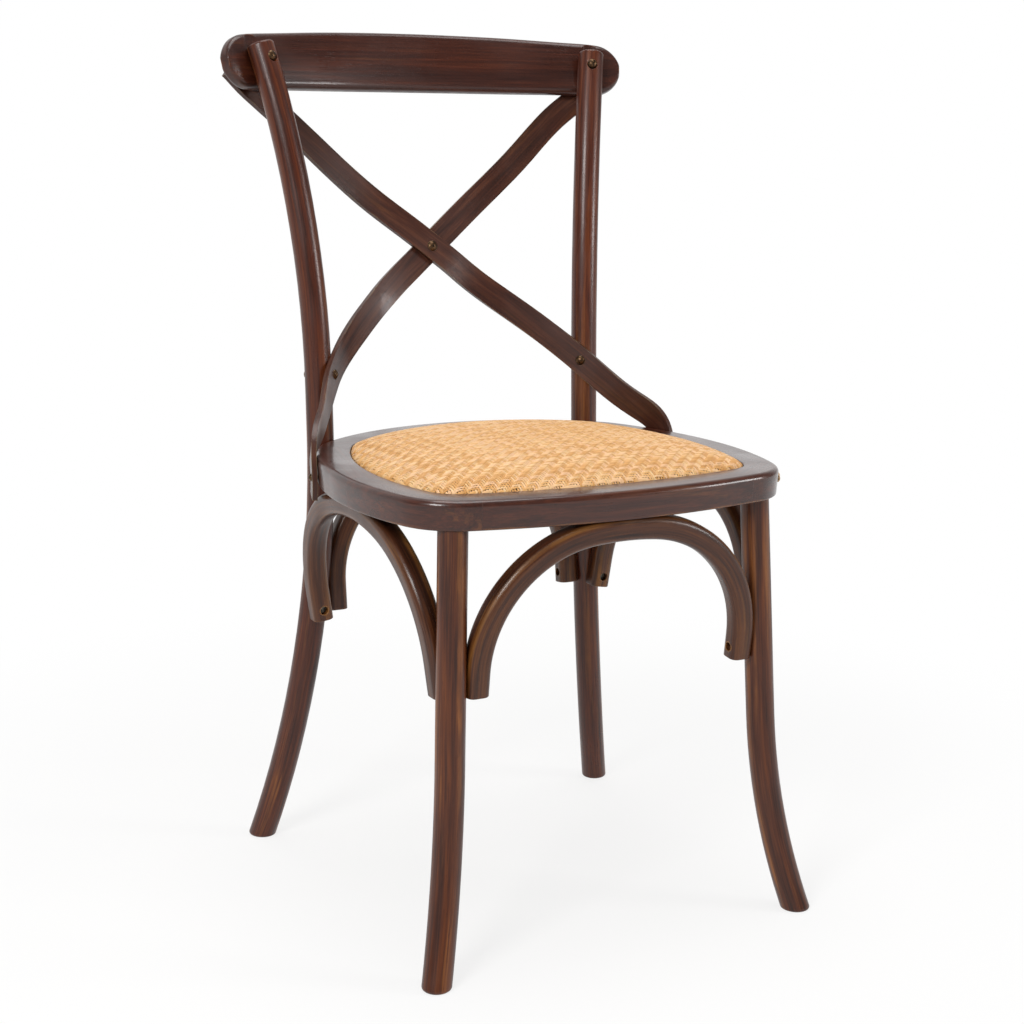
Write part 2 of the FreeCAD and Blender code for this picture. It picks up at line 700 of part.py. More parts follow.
def behind_crest(x, z, gap):
    """Point behind the left half of the crest rail, and the direction out of its rear."""
    flat = CREST_ARC + CREST_THICK / 2.0 + (CREST_THICK / 2.0 + gap) / math.cos(crest_tilt)
    r = flat + (z - crest_mid_z) * math.tan(crest_tilt)
    w = math.asin(x / r)
    out = vec(-math.sin(w) * math.cos(crest_tilt), math.cos(w) * math.cos(crest_tilt), -math.sin(crest_tilt))
    return vec(-x, CREST_CENTRE_Y + r * math.cos(w), z), out


def wall_point(y, z, out):
    """Point outside the right wall of the ring."""
    w = math.asin((y - SIDE_C[1]) / SIDE_ARC)
    r = SIDE_ARC + out + CONTACT
    return vec(SIDE_C[0] + r * math.cos(w), y, z)


def strap_stations(front):
    """Centre line points and facing of the strap from right foot to left top."""
    half = STRAP_THICK / 2.0
    lift = (half + CONTACT / 2.0) * (1.0 if front else -1.0)
    knee = wall_point(STRAP_END_Y + 2.0, SEAT_TOP - 14.0, half + 0.5)
    shoulder = wall_point(STRAP_END_Y + 7.0, SEAT_TOP + 1.5, half + 0.8)
    bolt = bolt_post + strap_aim * (LEG_R + half + CONTACT)
    cross = vec(0.0, CROSS_Y, CROSS_Z) + cross_aim * lift
    run = unit(vec(-89.0, 21.7, 70.0))
    run = unit(run - cross_aim * run.dot(cross_aim))
    stations = [
        (strap_foot, strap_wall * -1.0), (knee, strap_wall * -1.0), (shoulder, strap_wall * -1.0),
        (vec(189.5, 92.5, 484.5), unit(vec(-0.88, -0.47, 0.05))),
        (bolt, strap_aim),
        (vec(93.1, 193.0, 580.0), unit(vec(-0.38, -0.90, 0.20))),
        (vec(46.0, 216.2, 616.5), unit(vec(-0.12, -0.97, 0.30))),
        (cross - run * 22.0, cross_aim), (cross, cross_aim), (cross + run * 22.0, cross_aim),
        (vec(-62.0, 241.0, 701.0), unit(vec(0.09, -1.0, 0.27))),
        (vec(-120.0, 246.5, 750.0), unit(vec(0.23, -1.0, 0.24))),
        (vec(-175.5, 251.0, 800.0), unit(vec(0.36, -0.92, 0.27))),
    ]
    for x, z in ((204.0, 822.0), (219.5, 835.5), (229.0, 844.5)):
        place, out = behind_crest(x, z, half + CREST_GAP)
        stations.append((place, out * -1.0))
    return stations


def strap_line(front):
    stations = strap_stations(front)
    points = [s[0] for s in stations]
    marks = [0.0]
    for i in range(1, len(points)):
        marks.append(marks[-1] + (points[i] - points[i - 1]).Length)
    path = Part.BSplineCurve()
    path.interpolate(Points=points, Parameters=marks)
    return path, stations, marks


def strap_frame(line, s):
    """Centre, face direction and width direction of a strap at arc length s."""
    path, stations, marks = line
    i = max(k for k in range(len(marks)) if marks[k] <= s + 1e-6)
    j = min(i + 1, len(marks) - 1)
    share = 0.0 if i == j else (s - marks[i]) / (marks[j] - marks[i])
    share = share * share * (3.0 - 2.0 * share)
    facing = unit(stations[i][1] * (1.0 - share) + stations[j][1] * share)
    ahead = unit(path.tangent(s)[0])
    facing = unit(facing - ahead * facing.dot(ahead))
    return path.value(s), facing, unit(ahead.cross(facing))


def strap_body(line):
    total = line[2][-1]
    count = int(round(total / STRAP_STEP))
    stops = [total * i / count for i in range(count + 1)]
    wires = []
    for s in stops:
        place, facing, wide = strap_frame(line, s)
        a = wide * (STRAP_WIDE / 2.0)
        b = facing * (STRAP_THICK / 2.0)
        corners = [place + a + b, place - a + b, place - a - b, place + a - b]
        wires.append(Part.makePolygon(corners + corners[:1]))
    return Part.makeLoft(wires, True, False)


def dome_bolt(seat, axis, length, head_r, shank_r):
    """Fastener with a domed head on seat and a shank along axis."""
    shank = cylinder(shank_r, seat - axis * 0.2, seat + axis * length)
    return join([shank, dome(head_r, HEAD_HIGH, seat, axis * -1.0)])


def bore(seat, axis, length, radius):
    return Part.makeCylinder(radius + FIT_GAP, length + 1.0, seat - axis * 0.5, axis)


def spot_face(seat, axis, head_r):
    """Flat round seat for a head, cut outwards from seat against axis."""
    return Part.makeCylinder(head_r + 0.3, 12.0, seat, axis * -1.0)


front_line = strap_line(True)
rear_line = strap_line(False)
front_strap = strap_body(front_line)
rear_strap = strap_body(rear_line)

# Rivet at the crossing
rivet_reach = STRAP_THICK + CONTACT / 2.0 + HEAD_GAP
rivet_start = vec(0.0, CROSS_Y, CROSS_Z) + cross_aim * rivet_reach
rivet_end = vec(0.0, CROSS_Y, CROSS_Z) - cross_aim * rivet_reach
centre_rivet = stud(RIVET_HEAD / 2.0, RIVET_SHANK / 2.0, rivet_start, rivet_end)
rivet_bore = bore(rivet_start, cross_aim * -1.0, (rivet_end - rivet_start).Length, RIVET_SHANK / 2.0)

# Bolts through strap and post, heads on both sides
flat = LEG_R - SPOT_DEEP
strap_bolt_start = bolt_post + strap_aim * (LEG_R + STRAP_THICK + CONTACT + HEAD_GAP)
strap_bolt_end = bolt_post - strap_aim * flat
strap_post_bolt = stud(BOLT_HEAD / 2.0, BOLT_SHANK / 2.0, strap_bolt_start, strap_bolt_end)
strap_bolt_long = (strap_bolt_end - strap_bolt_start).Length
strap_post_bore = bore(strap_bolt_start, strap_aim * -1.0, strap_bolt_long, BOLT_SHANK / 2.0)
strap_post_spot = spot_face(strap_bolt_end, strap_aim, BOLT_HEAD / 2.0)

# Bolts from the posts into the ring
ring_post, _ = post_centre(SEAT_BOLT_Z)
seat_out = unit(vec(ring_post.x - BACK_C[0], ring_post.y - BACK_C[1], 0.0))
seat_bolt_seat = ring_post + seat_out * flat
seat_bolt_long = flat + LEG_R + 20.0
seat_post_bolt = dome_bolt(seat_bolt_seat, seat_out * -1.0, seat_bolt_long, BOLT_HEAD / 2.0, BOLT_SHANK / 2.0)
seat_post_bore = bore(seat_bolt_seat, seat_out * -1.0, seat_bolt_long, BOLT_SHANK / 2.0)
seat_post_spot = spot_face(seat_bolt_seat, seat_out * -1.0, BOLT_HEAD / 2.0)

# Bolts from the posts into the crest rail
crest_bolt_post, _ = post_centre(CREST_BOLT_Z)
crest_way = vec(math.cos(crest_turn + CREST_BOLT_TURN), math.sin(crest_turn + CREST_BOLT_TURN), 0.0)
crest_bolt_seat = crest_bolt_post - crest_way * flat
crest_bolt = dome_bolt(crest_bolt_seat, crest_way, flat + LEG_R + 8.0, BOLT_HEAD / 2.0, BOLT_SHANK / 2.0)
crest_bore = bore(crest_bolt_seat, crest_way, flat + LEG_R + 8.0, BOLT_SHANK / 2.0)
crest_spot = spot_face(crest_bolt_seat, crest_way, BOLT_HEAD / 2.0)

# Screws at the strap ends
def end_fastening(line, s, into, length):
    """Domed screw through a strap at arc length s; into is 1 when the face looks away from the wood."""
    place, facing, _ = strap_frame(line, s)
    away = facing * into
    seat = place + away * (STRAP_THICK / 2.0 + HEAD_GAP)
    shaft = STRAP_THICK + HEAD_GAP + length
    fastener = dome_bolt(seat, away * -1.0, shaft, SCREW_HEAD / 2.0, SCREW_SHANK / 2.0)
    way = bore(seat, away * -1.0, shaft, SCREW_SHANK / 2.0)
    return fastener, join([way, spot_face(seat, away * -1.0, SCREW_HEAD / 2.0)])


foot_s = END_SCREW_Z - STRAP_END_Z
end_a, end_bore_a = end_fastening(front_line, foot_s, -1.0, 18.0)
end_b, end_bore_b = end_fastening(rear_line, foot_s, -1.0, 18.0)
top_a, top_bore_a = end_fastening(front_line, front_line[2][-1] - 11.0, -1.0, 7.0)
top_b, top_bore_b = end_fastening(rear_line, rear_line[2][-1] - 11.0, -1.0, 7.0)
head_spot = spot_face(strap_bolt_start, strap_aim * -1.0, BOLT_HEAD / 2.0)
rivet_spot = spot_face(rivet_start, cross_aim * -1.0, RIVET_HEAD / 2.0)
rivet_back = spot_face(rivet_end, cross_aim, RIVET_HEAD / 2.0)
shared_cuts = [post_grown, rivet_bore, strap_post_bore, head_spot]
front_strap = bored(front_strap, shared_cuts + [end_bore_a, top_bore_a, rivet_spot])
rear_strap = bored(rear_strap, shared_cuts + [end_bore_b, top_bore_b, rivet_back])
rear_strap = mirrored(rear_strap)


def stepped(hole, spot):
    return hole.fuse(spot)


post_tools = [stepped(strap_post_bore, strap_post_spot), stepped(seat_post_bore, seat_post_spot)]
post_tools = post_tools + [stepped(crest_bore, crest_spot)]
post_tools = post_tools + [h for h in leg_screw_holes if h.BoundBox.XMin > 0 and h.BoundBox.YMax > 0]
for tool in post_tools:
    post = as_solid(post.cut(tool))
leg = bored(leg, [h for h in leg_screw_holes if h.BoundBox.XMin > 0 and h.BoundBox.YMax < 0])
crest_cuts = posts_grown + [crest_bore, mirrored(crest_bore), top_bore_a, mirrored(top_bore_b)]
crest = bored(crest, crest_cuts)

# Ring joints
def radial_joint(c, radius, angle):
    w = math.radians(angle)
    way = vec(-math.cos(w), -math.sin(w), 0.0)
    return vec(c[0], c[1], 0.0) - way * radius, way


front_joint = radial_joint(FRONT_C, FRONT_ARC, -90.0 + math.degrees(math.asin(JOINT_FRONT_X / FRONT_ARC)))
w_right = math.radians(JOINT_RIGHT_DIR)
right_joint = (vec(JOINT_RIGHT_X, JOINT_RIGHT_Y, 0.0), vec(math.cos(w_right), math.sin(w_right), 0.0))
side_turn = math.degrees(math.asin((JOINT_LEFT_Y - SIDE_C[1]) / SIDE_ARC))
left_joint = radial_joint(SIDE_C, SIDE_ARC, side_turn)
rear_joint = radial_joint(BACK_C, REAR_CORNER, JOINT_REAR_TURN)


def ends(joint, side):
    place, way = joint
    inner = place + way * 95.0
    outer = place - way * 95.0
    return vec(side * inner.x, inner.y, 0.0), vec(side * outer.x, outer.y, 0.0)


def sector(first, first_side, far, last, last_side):
    a_in, a_out = ends(first, first_side)
    b_in, b_out = ends(last, last_side)
    points = [a_in, a_out] + [vec(x, y, 0.0) for x, y in far] + [b_out, b_in, a_in]
    points = [p + AXIS_Z * (SEAT_BOTTOM - 5.0) for p in points]
    return Part.Face(Part.makePolygon(points)).extrude(AXIS_Z * (SEAT_THICK + 10.0))


dowels = []
dowel_holes = []
DOWEL_Z = SEAT_BOTTOM + SEAT_THICK / 2.0


def add_dowels(joint, side, start):
    place, way = joint
    across = vec(-way.y, way.x, 0.0)
    for k in range(2):
        mid = place + way * (start + k * DOWEL_PITCH)
        mid = vec(side * mid.x, mid.y, DOWEL_Z)
        turn = vec(side * across.x, across.y, 0.0)
        a = mid - turn * (DOWEL_LONG / 2.0)
        b = mid + turn * (DOWEL_LONG / 2.0)
        peg = cylinder(DOWEL_DIA / 2.0, a, b)
        dowels.append(peg.makeChamfer(0.6, [e for e in peg.Edges if e.Curve.TypeId == "Part::GeomCircle"]))
        dowel_holes.append(cylinder(DOWEL_DIA / 2.0 + FIT_GAP, a - turn * 0.5, b + turn * 0.5))


for side in (1.0, -1.0):
    add_dowels(front_joint, side, DOWEL_INSET)
    add_dowels(rear_joint, side, DOWEL_INSET)
add_dowels(right_joint, 1.0, DOWEL_INSET - 17.0)
add_dowels(left_joint, -1.0, DOWEL_INSET)

# Panel screws from below the ledge into the board
panel_screws = []
panel_holes = []
panel_mid = RIM_WIDTH + LEDGE_WIDTH / 2.0 + 3.0
for side in (1.0, -1.0):
    for arc, turn in ((ARCS[0], TURN_1 - 9.0), (ARCS[2], -14.0), (ARCS[2], 13.0), (ARCS[4], 66.0)):
        x, y = outline_point(arc, turn, panel_mid)
        low = vec(side * x, y, SEAT_BOTTOM + 0.4)
        head = Part.makeCone(SCREW_HEAD / 2.0, PANEL_SCREW_SHANK / 2.0, 2.6, low, AXIS_Z)
        shank = Part.makeCylinder(PANEL_SCREW_SHANK / 2.0, 19.0, low, AXIS_Z)
        panel_screws.append(join([head, shank]))
        sink = Part.makeCone(SCREW_HEAD / 2.0 + FIT_GAP, PANEL_SCREW_SHANK / 2.0 + FIT_GAP, 2.6, low, AXIS_Z)
        mouth = Part.makeCylinder(SCREW_HEAD / 2.0 + FIT_GAP, 2.4, low - AXIS_Z * 2.0, AXIS_Z)
        way = Part.makeCylinder(PANEL_SCREW_SHANK / 2.0 + FIT_GAP, 19.5, low, AXIS_Z)
        panel_holes.append(join([sink, mouth, way]))

leg_top, leg_heading, _ = leg_path()
tenon_end = leg_top - leg_heading * (TENON_LONG + 0.6)
tenon_hole = cylinder(TENON_DIA / 2.0 + FIT_GAP, leg_top + leg_heading * 10.0, tenon_end)
ring_cuts = posts_grown + [tenon_hole, mirrored(tenon_hole), seat_post_bore, mirrored(seat_post_bore)]
ring_cuts = ring_cuts + [end_bore_a, mirrored(end_bore_b)] + seat_screw_holes + dowel_holes + panel_holes
ring = ring.cut(Part.makeCompound(ring_cuts[:2])).cut(Part.makeCompound(ring_cuts[2:]))
far_right = [(420.0, 100.0)]
far_left = [(-420.0, 100.0)]
seat_front_rail = as_solid(ring.common(sector(front_joint, -1.0, [], front_joint, 1.0)))
seat_right_corner = as_solid(ring.common(sector(front_joint, 1.0, [(420.0, -420.0)], right_joint, 1.0)))
seat_left_corner = as_solid(ring.common(sector(front_joint, -1.0, [(-420.0, -420.0)], left_joint, -1.0)))
seat_right_rail = as_solid(ring.common(sector(right_joint, 1.0, far_right, rear_joint, 1.0)))
seat_left_rail = as_solid(ring.common(sector(left_joint, -1.0, far_left, rear_joint, -1.0)))
far_back = [(420.0, 420.0), (-420.0, 420.0)]
seat_back_rail = as_solid(ring.common(sector(rear_joint, 1.0, far_back, rear_joint, -1.0)))

# Woven panel: board, foam crown and woven cover
board_face = Part.Face(outline_wire(RIM_WIDTH + PANEL_GAP, LEDGE_TOP))
board_cuts = [c for c in panel_holes]
seat_board = as_solid(board_face.extrude(AXIS_Z * BOARD_THICK).cut(Part.makeCompound(board_cuts)))


def crown(inset, base_z, lower):
    """Crowned cushion over the panel outline; lower sinks its upper surface."""
    wire = outline_wire(RIM_WIDTH + PANEL_GAP + inset, 0.0)
    middle = vec(0.0, PANEL_MID_Y, 0.0)
    edge_z = SEAT_TOP - 0.5 - lower
    rise = SEAT_TOP + CROWN - lower - edge_z
    wires = []
    base = wire.copy()
    base.translate(AXIS_Z * base_z)
    wires.append(base)
    for share, height in PANEL_SHAPE:
        ring_wire = wire.copy()
        ring_wire.scale(share, middle)
        ring_wire.translate(AXIS_Z * (edge_z + rise * height))
        wires.append(ring_wire)
    return Part.makeLoft(wires, True, False)


soft_base = BOARD_TOP + SOFT_GAP
cover_outer = crown(COVER_PLAY, soft_base, 0.0)
cover_inner = crown(COVER_PLAY + COVER_THICK, soft_base - 0.5, COVER_THICK)
rattan_cover = as_solid(cover_outer.cut(cover_inner))
pad_inset = COVER_PLAY + COVER_THICK + 2.0 * SOFT_GAP
seat_pad = as_solid(crown(pad_inset, soft_base, COVER_THICK + 2.0 * SOFT_GAP))

nodes = [
    ("left_back_post", mirrored(post)), ("right_back_post", post), ("crest_rail", crest),
    ("front_cross_strap", front_strap), ("rear_cross_strap", rear_strap),
    ("seat_front_rail", seat_front_rail), ("seat_left_corner", seat_left_corner),
    ("seat_right_corner", seat_right_corner), ("seat_left_rail", seat_left_rail),
    ("seat_right_rail", seat_right_rail), ("seat_back_rail", seat_back_rail),
    ("seat_ring_dowels", group(dowels)), ("seat_board", seat_board), ("seat_pad", seat_pad),
    ("rattan_cover", rattan_cover), ("seat_panel_screws", group(panel_screws)),
    ("front_left_leg", mirrored(leg)), ("front_right_leg", leg),
    ("front_hoop", front_hoop), ("left_hoop", left_hoop), ("right_hoop", right_hoop), ("rear_hoop", rear_hoop),
    ("hoop_leg_screws", group(leg_screws)), ("hoop_seat_screws", group(seat_screws)),
    ("crest_bolts", group([crest_bolt, mirrored(crest_bolt)])), ("centre_rivet", centre_rivet),
    ("strap_post_bolts", group([strap_post_bolt, mirrored(strap_post_bolt)])),
    ("seat_post_bolts", group([seat_post_bolt, mirrored(seat_post_bolt)])),
    ("strap_end_screws", group([end_a, mirrored(end_b)])),
    ("strap_top_screws", group([top_a, mirrored(top_b)])),
]

y_low = 1e9
y_high = -1e9
for name, shape in nodes:
    if name in ("front_right_leg", "right_back_post", "crest_rail", "front_cross_strap", "strap_top_screws"):
        box = shape.optimalBoundingBox(False, False)
        y_low = min(y_low, box.YMin)
        y_high = max(y_high, box.YMax)
shift = vec(0.0, -(y_low + y_high) / 2.0, 0.0)
for name, shape in nodes:
    shape.translate(shift)
    shape.exportStep("parts/" + name + ".step")
print("moved in Y by", round(shift.y, 3))
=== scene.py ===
"""Cross back dining chair in stained bentwood with a crowned woven cane seat."""
import json
import logging
import math
from dataclasses import dataclass, field
from enum import Enum
from typing import Callable, Sequence

import bpy
import numpy as np
from mathutils import Matrix, Vector

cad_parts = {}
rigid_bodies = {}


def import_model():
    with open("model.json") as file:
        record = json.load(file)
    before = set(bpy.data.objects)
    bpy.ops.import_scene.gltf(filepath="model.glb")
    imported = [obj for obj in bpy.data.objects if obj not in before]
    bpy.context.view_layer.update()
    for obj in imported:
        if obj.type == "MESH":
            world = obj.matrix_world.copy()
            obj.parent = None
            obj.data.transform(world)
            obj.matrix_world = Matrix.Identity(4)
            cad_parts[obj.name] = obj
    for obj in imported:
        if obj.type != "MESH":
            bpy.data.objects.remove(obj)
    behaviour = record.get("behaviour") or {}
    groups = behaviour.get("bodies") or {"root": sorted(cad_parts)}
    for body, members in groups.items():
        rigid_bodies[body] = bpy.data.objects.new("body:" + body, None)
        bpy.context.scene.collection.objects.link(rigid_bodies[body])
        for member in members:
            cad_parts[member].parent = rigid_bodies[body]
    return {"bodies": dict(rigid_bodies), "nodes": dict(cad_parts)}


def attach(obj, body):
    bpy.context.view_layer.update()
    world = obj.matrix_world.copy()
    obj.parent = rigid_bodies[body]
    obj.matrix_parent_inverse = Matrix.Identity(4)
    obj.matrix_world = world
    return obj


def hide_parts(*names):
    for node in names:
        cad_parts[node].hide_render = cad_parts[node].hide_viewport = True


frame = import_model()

LOG = logging.getLogger("cross_back_chair")
BODY = next(iter(frame["bodies"]))
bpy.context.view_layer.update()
MM = 0.001
SHIFT_Y = -27.014  # from depth in the layout to depth in the frame, in millimetres
MERGE = 0.000002   # corner points of a mesh nearer than this are one, in metres
ASKEW = (0.31, 0.94, 0.12)  # a direction along which no piece starts

Colour = tuple[float, float, float, float]
Triple = tuple[float, float, float]
Socket = bpy.types.NodeSocket
Value = Socket | float | tuple[float, ...]
WHITE: Colour = (1.0, 1.0, 1.0, 1.0)


class Side(Enum):
    """Which half of the chair a mirrored piece belongs to."""

    LEFT = -1.0
    RIGHT = 1.0


class Run(Enum):
    """The two directions in which the cane strands run."""

    ALONG_X = "across the seat"
    ALONG_Y = "front to back"


def shade(code: str) -> Colour:
    """Turns a written display colour into the linear colour that a shader takes.

    Args:
        code: Six hexadecimal digits, red first.

    Returns:
        Linear red, green, blue and an alpha of one.
    """
    parts = [int(code[i:i + 2], 16) / 255.0 for i in (0, 2, 4)]
    lin = [p / 12.92 if p <= 0.04045 else ((p + 0.055) / 1.055) ** 2.4 for p in parts]
    return (lin[0], lin[1], lin[2], 1.0)


def unit(v: Sequence[float]) -> np.ndarray:
    """Scales a vector to length one."""
    a = np.asarray(v, float)
    return a / np.linalg.norm(a)


def to_frame(points: np.ndarray) -> np.ndarray:
    """Carries layout points in millimetres into the shared frame in metres."""
    return (np.asarray(points, float) + np.array([0.0, SHIFT_Y, 0.0])) * MM


def to_layout(points: np.ndarray) -> np.ndarray:
    """Carries frame points in metres back to layout millimetres."""
    return np.asarray(points, float) / MM - np.array([0.0, SHIFT_Y, 0.0])


def only(obj: bpy.types.Object) -> None:
    """Makes one object the only selected and the active one."""
    bpy.ops.object.select_all(action="DESELECT")
    obj.select_set(True)
    bpy.context.view_layer.objects.active = obj


def linked(name: str, data: bpy.types.ID) -> bpy.types.Object:
    """Puts new data into the scene as an object at the origin.

    Args:
        name: Name of the object.
        data: Its mesh, lamp or camera.

    Returns:
        The object.
    """
    obj = bpy.data.objects.new(name, data)
    bpy.context.scene.collection.objects.link(obj)
    return obj


def mark(mesh: bpy.types.Mesh, name: str, values: np.ndarray) -> None:
    """Writes an attribute that a material reads.

    Args:
        mesh: The mesh.
        name: Name of the attribute.
        values: A number or a vector for each corner point.
    """
    kind, key = ("FLOAT", "value") if values.ndim == 1 else ("FLOAT_VECTOR", "vector")
    made = mesh.attributes.new(name, kind, "POINT")
    made.data.foreach_set(key, values.astype(np.float32).ravel())


def face_outwards(obj: bpy.types.Object) -> None:
    """Turns all faces of a closed mesh outwards."""
    only(obj)
    bpy.ops.object.mode_set(mode="EDIT")
    bpy.ops.mesh.select_all(action="SELECT")
    bpy.ops.mesh.normals_make_consistent(inside=False)
    bpy.ops.object.mode_set(mode="OBJECT")


def smooth(obj: bpy.types.Object, degrees: float) -> None:
    """Shades a mesh smooth, with the edges sharper than an angle kept sharp."""
    only(obj)
    bpy.ops.object.shade_smooth_by_angle(angle=math.radians(degrees))


def book(obj: bpy.types.Object, node: str) -> None:
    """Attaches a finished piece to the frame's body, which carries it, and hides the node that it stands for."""
    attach(obj, BODY)
    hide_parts(node)


# Finishes
class NodeSketch:
    """A node tree under construction, with short calls for the nodes that it needs."""

    def __init__(self, owner: bpy.types.Material | bpy.types.World) -> None:
        """Starts from an empty tree.

        Args:
            owner: The material or world that the tree belongs to.
        """
        owner.use_nodes = True
        self.tree = owner.node_tree
        self.tree.nodes.clear()

    def feed(self, socket: Socket, value: Value) -> None:
        """Links a socket, or sets the constant value it holds.

        Args:
            socket: An input.
            value: An output to link, or a constant.
        """
        if isinstance(value, bpy.types.NodeSocket):
            self.tree.links.new(value, socket)
        else:
            socket.default_value = value

    def node(self, kind: str, *inputs: Value, output: str | int = 0, named: dict[str, Value] | None = None,
             **settings: object) -> Socket:
        """Adds a node and feeds it.

        Args:
            kind: Type of the node, without the word ShaderNode.
            inputs: What goes into its first inputs, in order.
            output: Name or number of the output that is read.
            named: What goes into other inputs, by name.
            settings: Properties of the node, by name.

        Returns:
            The output.
        """
        made = self.tree.nodes.new("ShaderNode" + kind)
        for key, value in settings.items():
            setattr(made, key, value)
        for key, value in [*enumerate(inputs), *(named or {}).items()]:
            self.feed(made.inputs[key], value)
        return made.outputs[output]

    def attribute(self, name: str, output: str = "Vector") -> Socket:
        """Reads a named attribute of the piece."""
        return self.node("Attribute", output=output, attribute_name=name)

    def place(self) -> Socket:
        """Reads the object coordinates."""
        return self.node("TexCoord", output="Object")

    def part(self, vector: Socket, axis: str = "Z") -> Socket:
        """Takes one part out of a vector."""
        return self.node("SeparateXYZ", vector, output=axis)

    def ray(self, kind: str) -> Socket:
        """Reads whether the ray is of a kind."""
        return self.node("LightPath", output=f"Is {kind} Ray")

    def facing(self) -> Socket:
        """Reads the normal of the surface as modelled."""
        return self.node("NewGeometry", output="Normal")

    def rounded(self, radius: float, samples: int = 4) -> Socket:
        """Reads a normal that eases the piece's sharp edges within a radius in metres."""
        return self.node("Bevel", radius, samples=samples)

    def maths(self, kind: str, a: Value, b: Value = 0.0) -> Socket:
        """Adds a calculation with one or two values."""
        return self.node("Math", a, b, operation=kind)

    def times(self, a: Value, b: Value) -> Socket:
        """Multiplies two values."""
        return self.maths("MULTIPLY", a, b)

    def plus(self, a: Value, b: Value) -> Socket:
        """Adds two values."""
        return self.maths("ADD", a, b)

    def light(self, kind: str, strength: float) -> Socket:
        """Adds a white light of a node type and a strength."""
        return self.node(kind, WHITE, strength)

    def noise(self, vector: Socket, cells: float | Triple, detail: float = 3.0, rough: float = 0.55,
              twist: float = 0.0) -> Socket:
        """Adds a noise pattern.

        Args:
            vector: Where the pattern is read.
            cells: Cells per unit, for all axes or for each.
            detail: Octaves.
            rough: Weight of the finer octaves.
            twist: Distortion.

        Returns:
            The pattern's value.
        """
        if isinstance(cells, tuple):
            vector, cells = self.node("Mapping", vector, named={"Scale": cells}), 1.0
        return self.node("TexNoise", vector, output="Fac",
                         named={"Scale": cells, "Detail": detail, "Roughness": rough, "Distortion": twist})

    def bands(self, vector: Socket, axis: str, scale: float, twist: float = 0.0) -> Socket:
        """Adds parallel bands across an axis, of a density and with a distortion."""
        return self.node("TexWave", vector, output="Fac", wave_type="BANDS", bands_direction=axis,
                         named={"Scale": scale, "Distortion": twist})

    def ramp(self, value: Socket, stops: Sequence[tuple[float, Colour]]) -> Socket:
        """Maps a value to colours.

        Args:
            value: What is mapped.
            stops: Positions and colours, in rising order.

        Returns:
            The colour.
        """
        colour = self.node("ValToRGB", value)
        band = colour.node.color_ramp
        while len(band.elements) < len(stops):
            band.elements.new(0.5)
        for element, (position, shown) in zip(band.elements, stops):
            element.position = position
            element.color = shown
        return colour

    def step(self, value: Socket, low: float, high: float, start: float = 0.0, end: float = 1.0,
             curve: str = "SMOOTHSTEP") -> Socket:
        """Maps low to high onto start to end along a curve, and holds the result outside."""
        return self.node("MapRange", value, interpolation_type=curve,
                         named={"From Min": low, "From Max": high, "To Min": start, "To Max": end})

    def mix(self, share: Value, a: Value, b: Value) -> Socket:
        """Blends two colours.

        Args:
            share: Weight of the second colour.
            a: First colour.
            b: Second colour.

        Returns:
            The colour.
        """
        colour = self.node("Mix", share, output=2, data_type="RGBA")
        self.feed(colour.node.inputs[6], a)
        self.feed(colour.node.inputs[7], b)
        return colour

    def edge(self, radius: float, low: float, high: float) -> Socket:
        """Finds the sharp outer and inner edges of the piece.

        Args:
            radius: Reach of an edge in metres.
            low: Turn of the normal where the edge starts.
            high: Turn where it is full.

        Returns:
            One on edges and zero elsewhere.
        """
        same = self.node("VectorMath", self.rounded(radius, 6), self.facing(), output="Value",
                         operation="DOT_PRODUCT")
        return self.step(self.maths("SUBTRACT", 1.0, same), low, high)

    def relief(self, height: Socket, strength: float, distance: float, normal: Socket | None = None) -> Socket:
        """Raises a normal by a pattern, with a weight and a depth in metres."""
        named = {"Strength": strength, "Distance": distance, "Height": height}
        return self.node("Bump", named=named if normal is None else {**named, "Normal": normal})


class MaterialSketch(NodeSketch):
    """A material under construction, with its surface shader in place."""

    def __init__(self, name: str) -> None:
        """Starts a material.

        Args:
            name: Name of the material.
        """
        self.material = bpy.data.materials.new(name)
        super().__init__(self.material)
        self.out = self.tree.nodes.new("ShaderNodeOutputMaterial")
        self.body = self.tree.nodes.new("ShaderNodeBsdfPrincipled")
        self.feed(self.out.inputs["Surface"], self.body.outputs["BSDF"])

    def finish(self, **values: object) -> bpy.types.Material:
        """Sets the shader's sockets by name.

        Args:
            values: Socket names with underscores for spaces, and their values.

        Returns:
            The finished material.
        """
        for key, value in values.items():
            self.feed(self.body.inputs[key.replace("_", " ")], value)
        return self.material


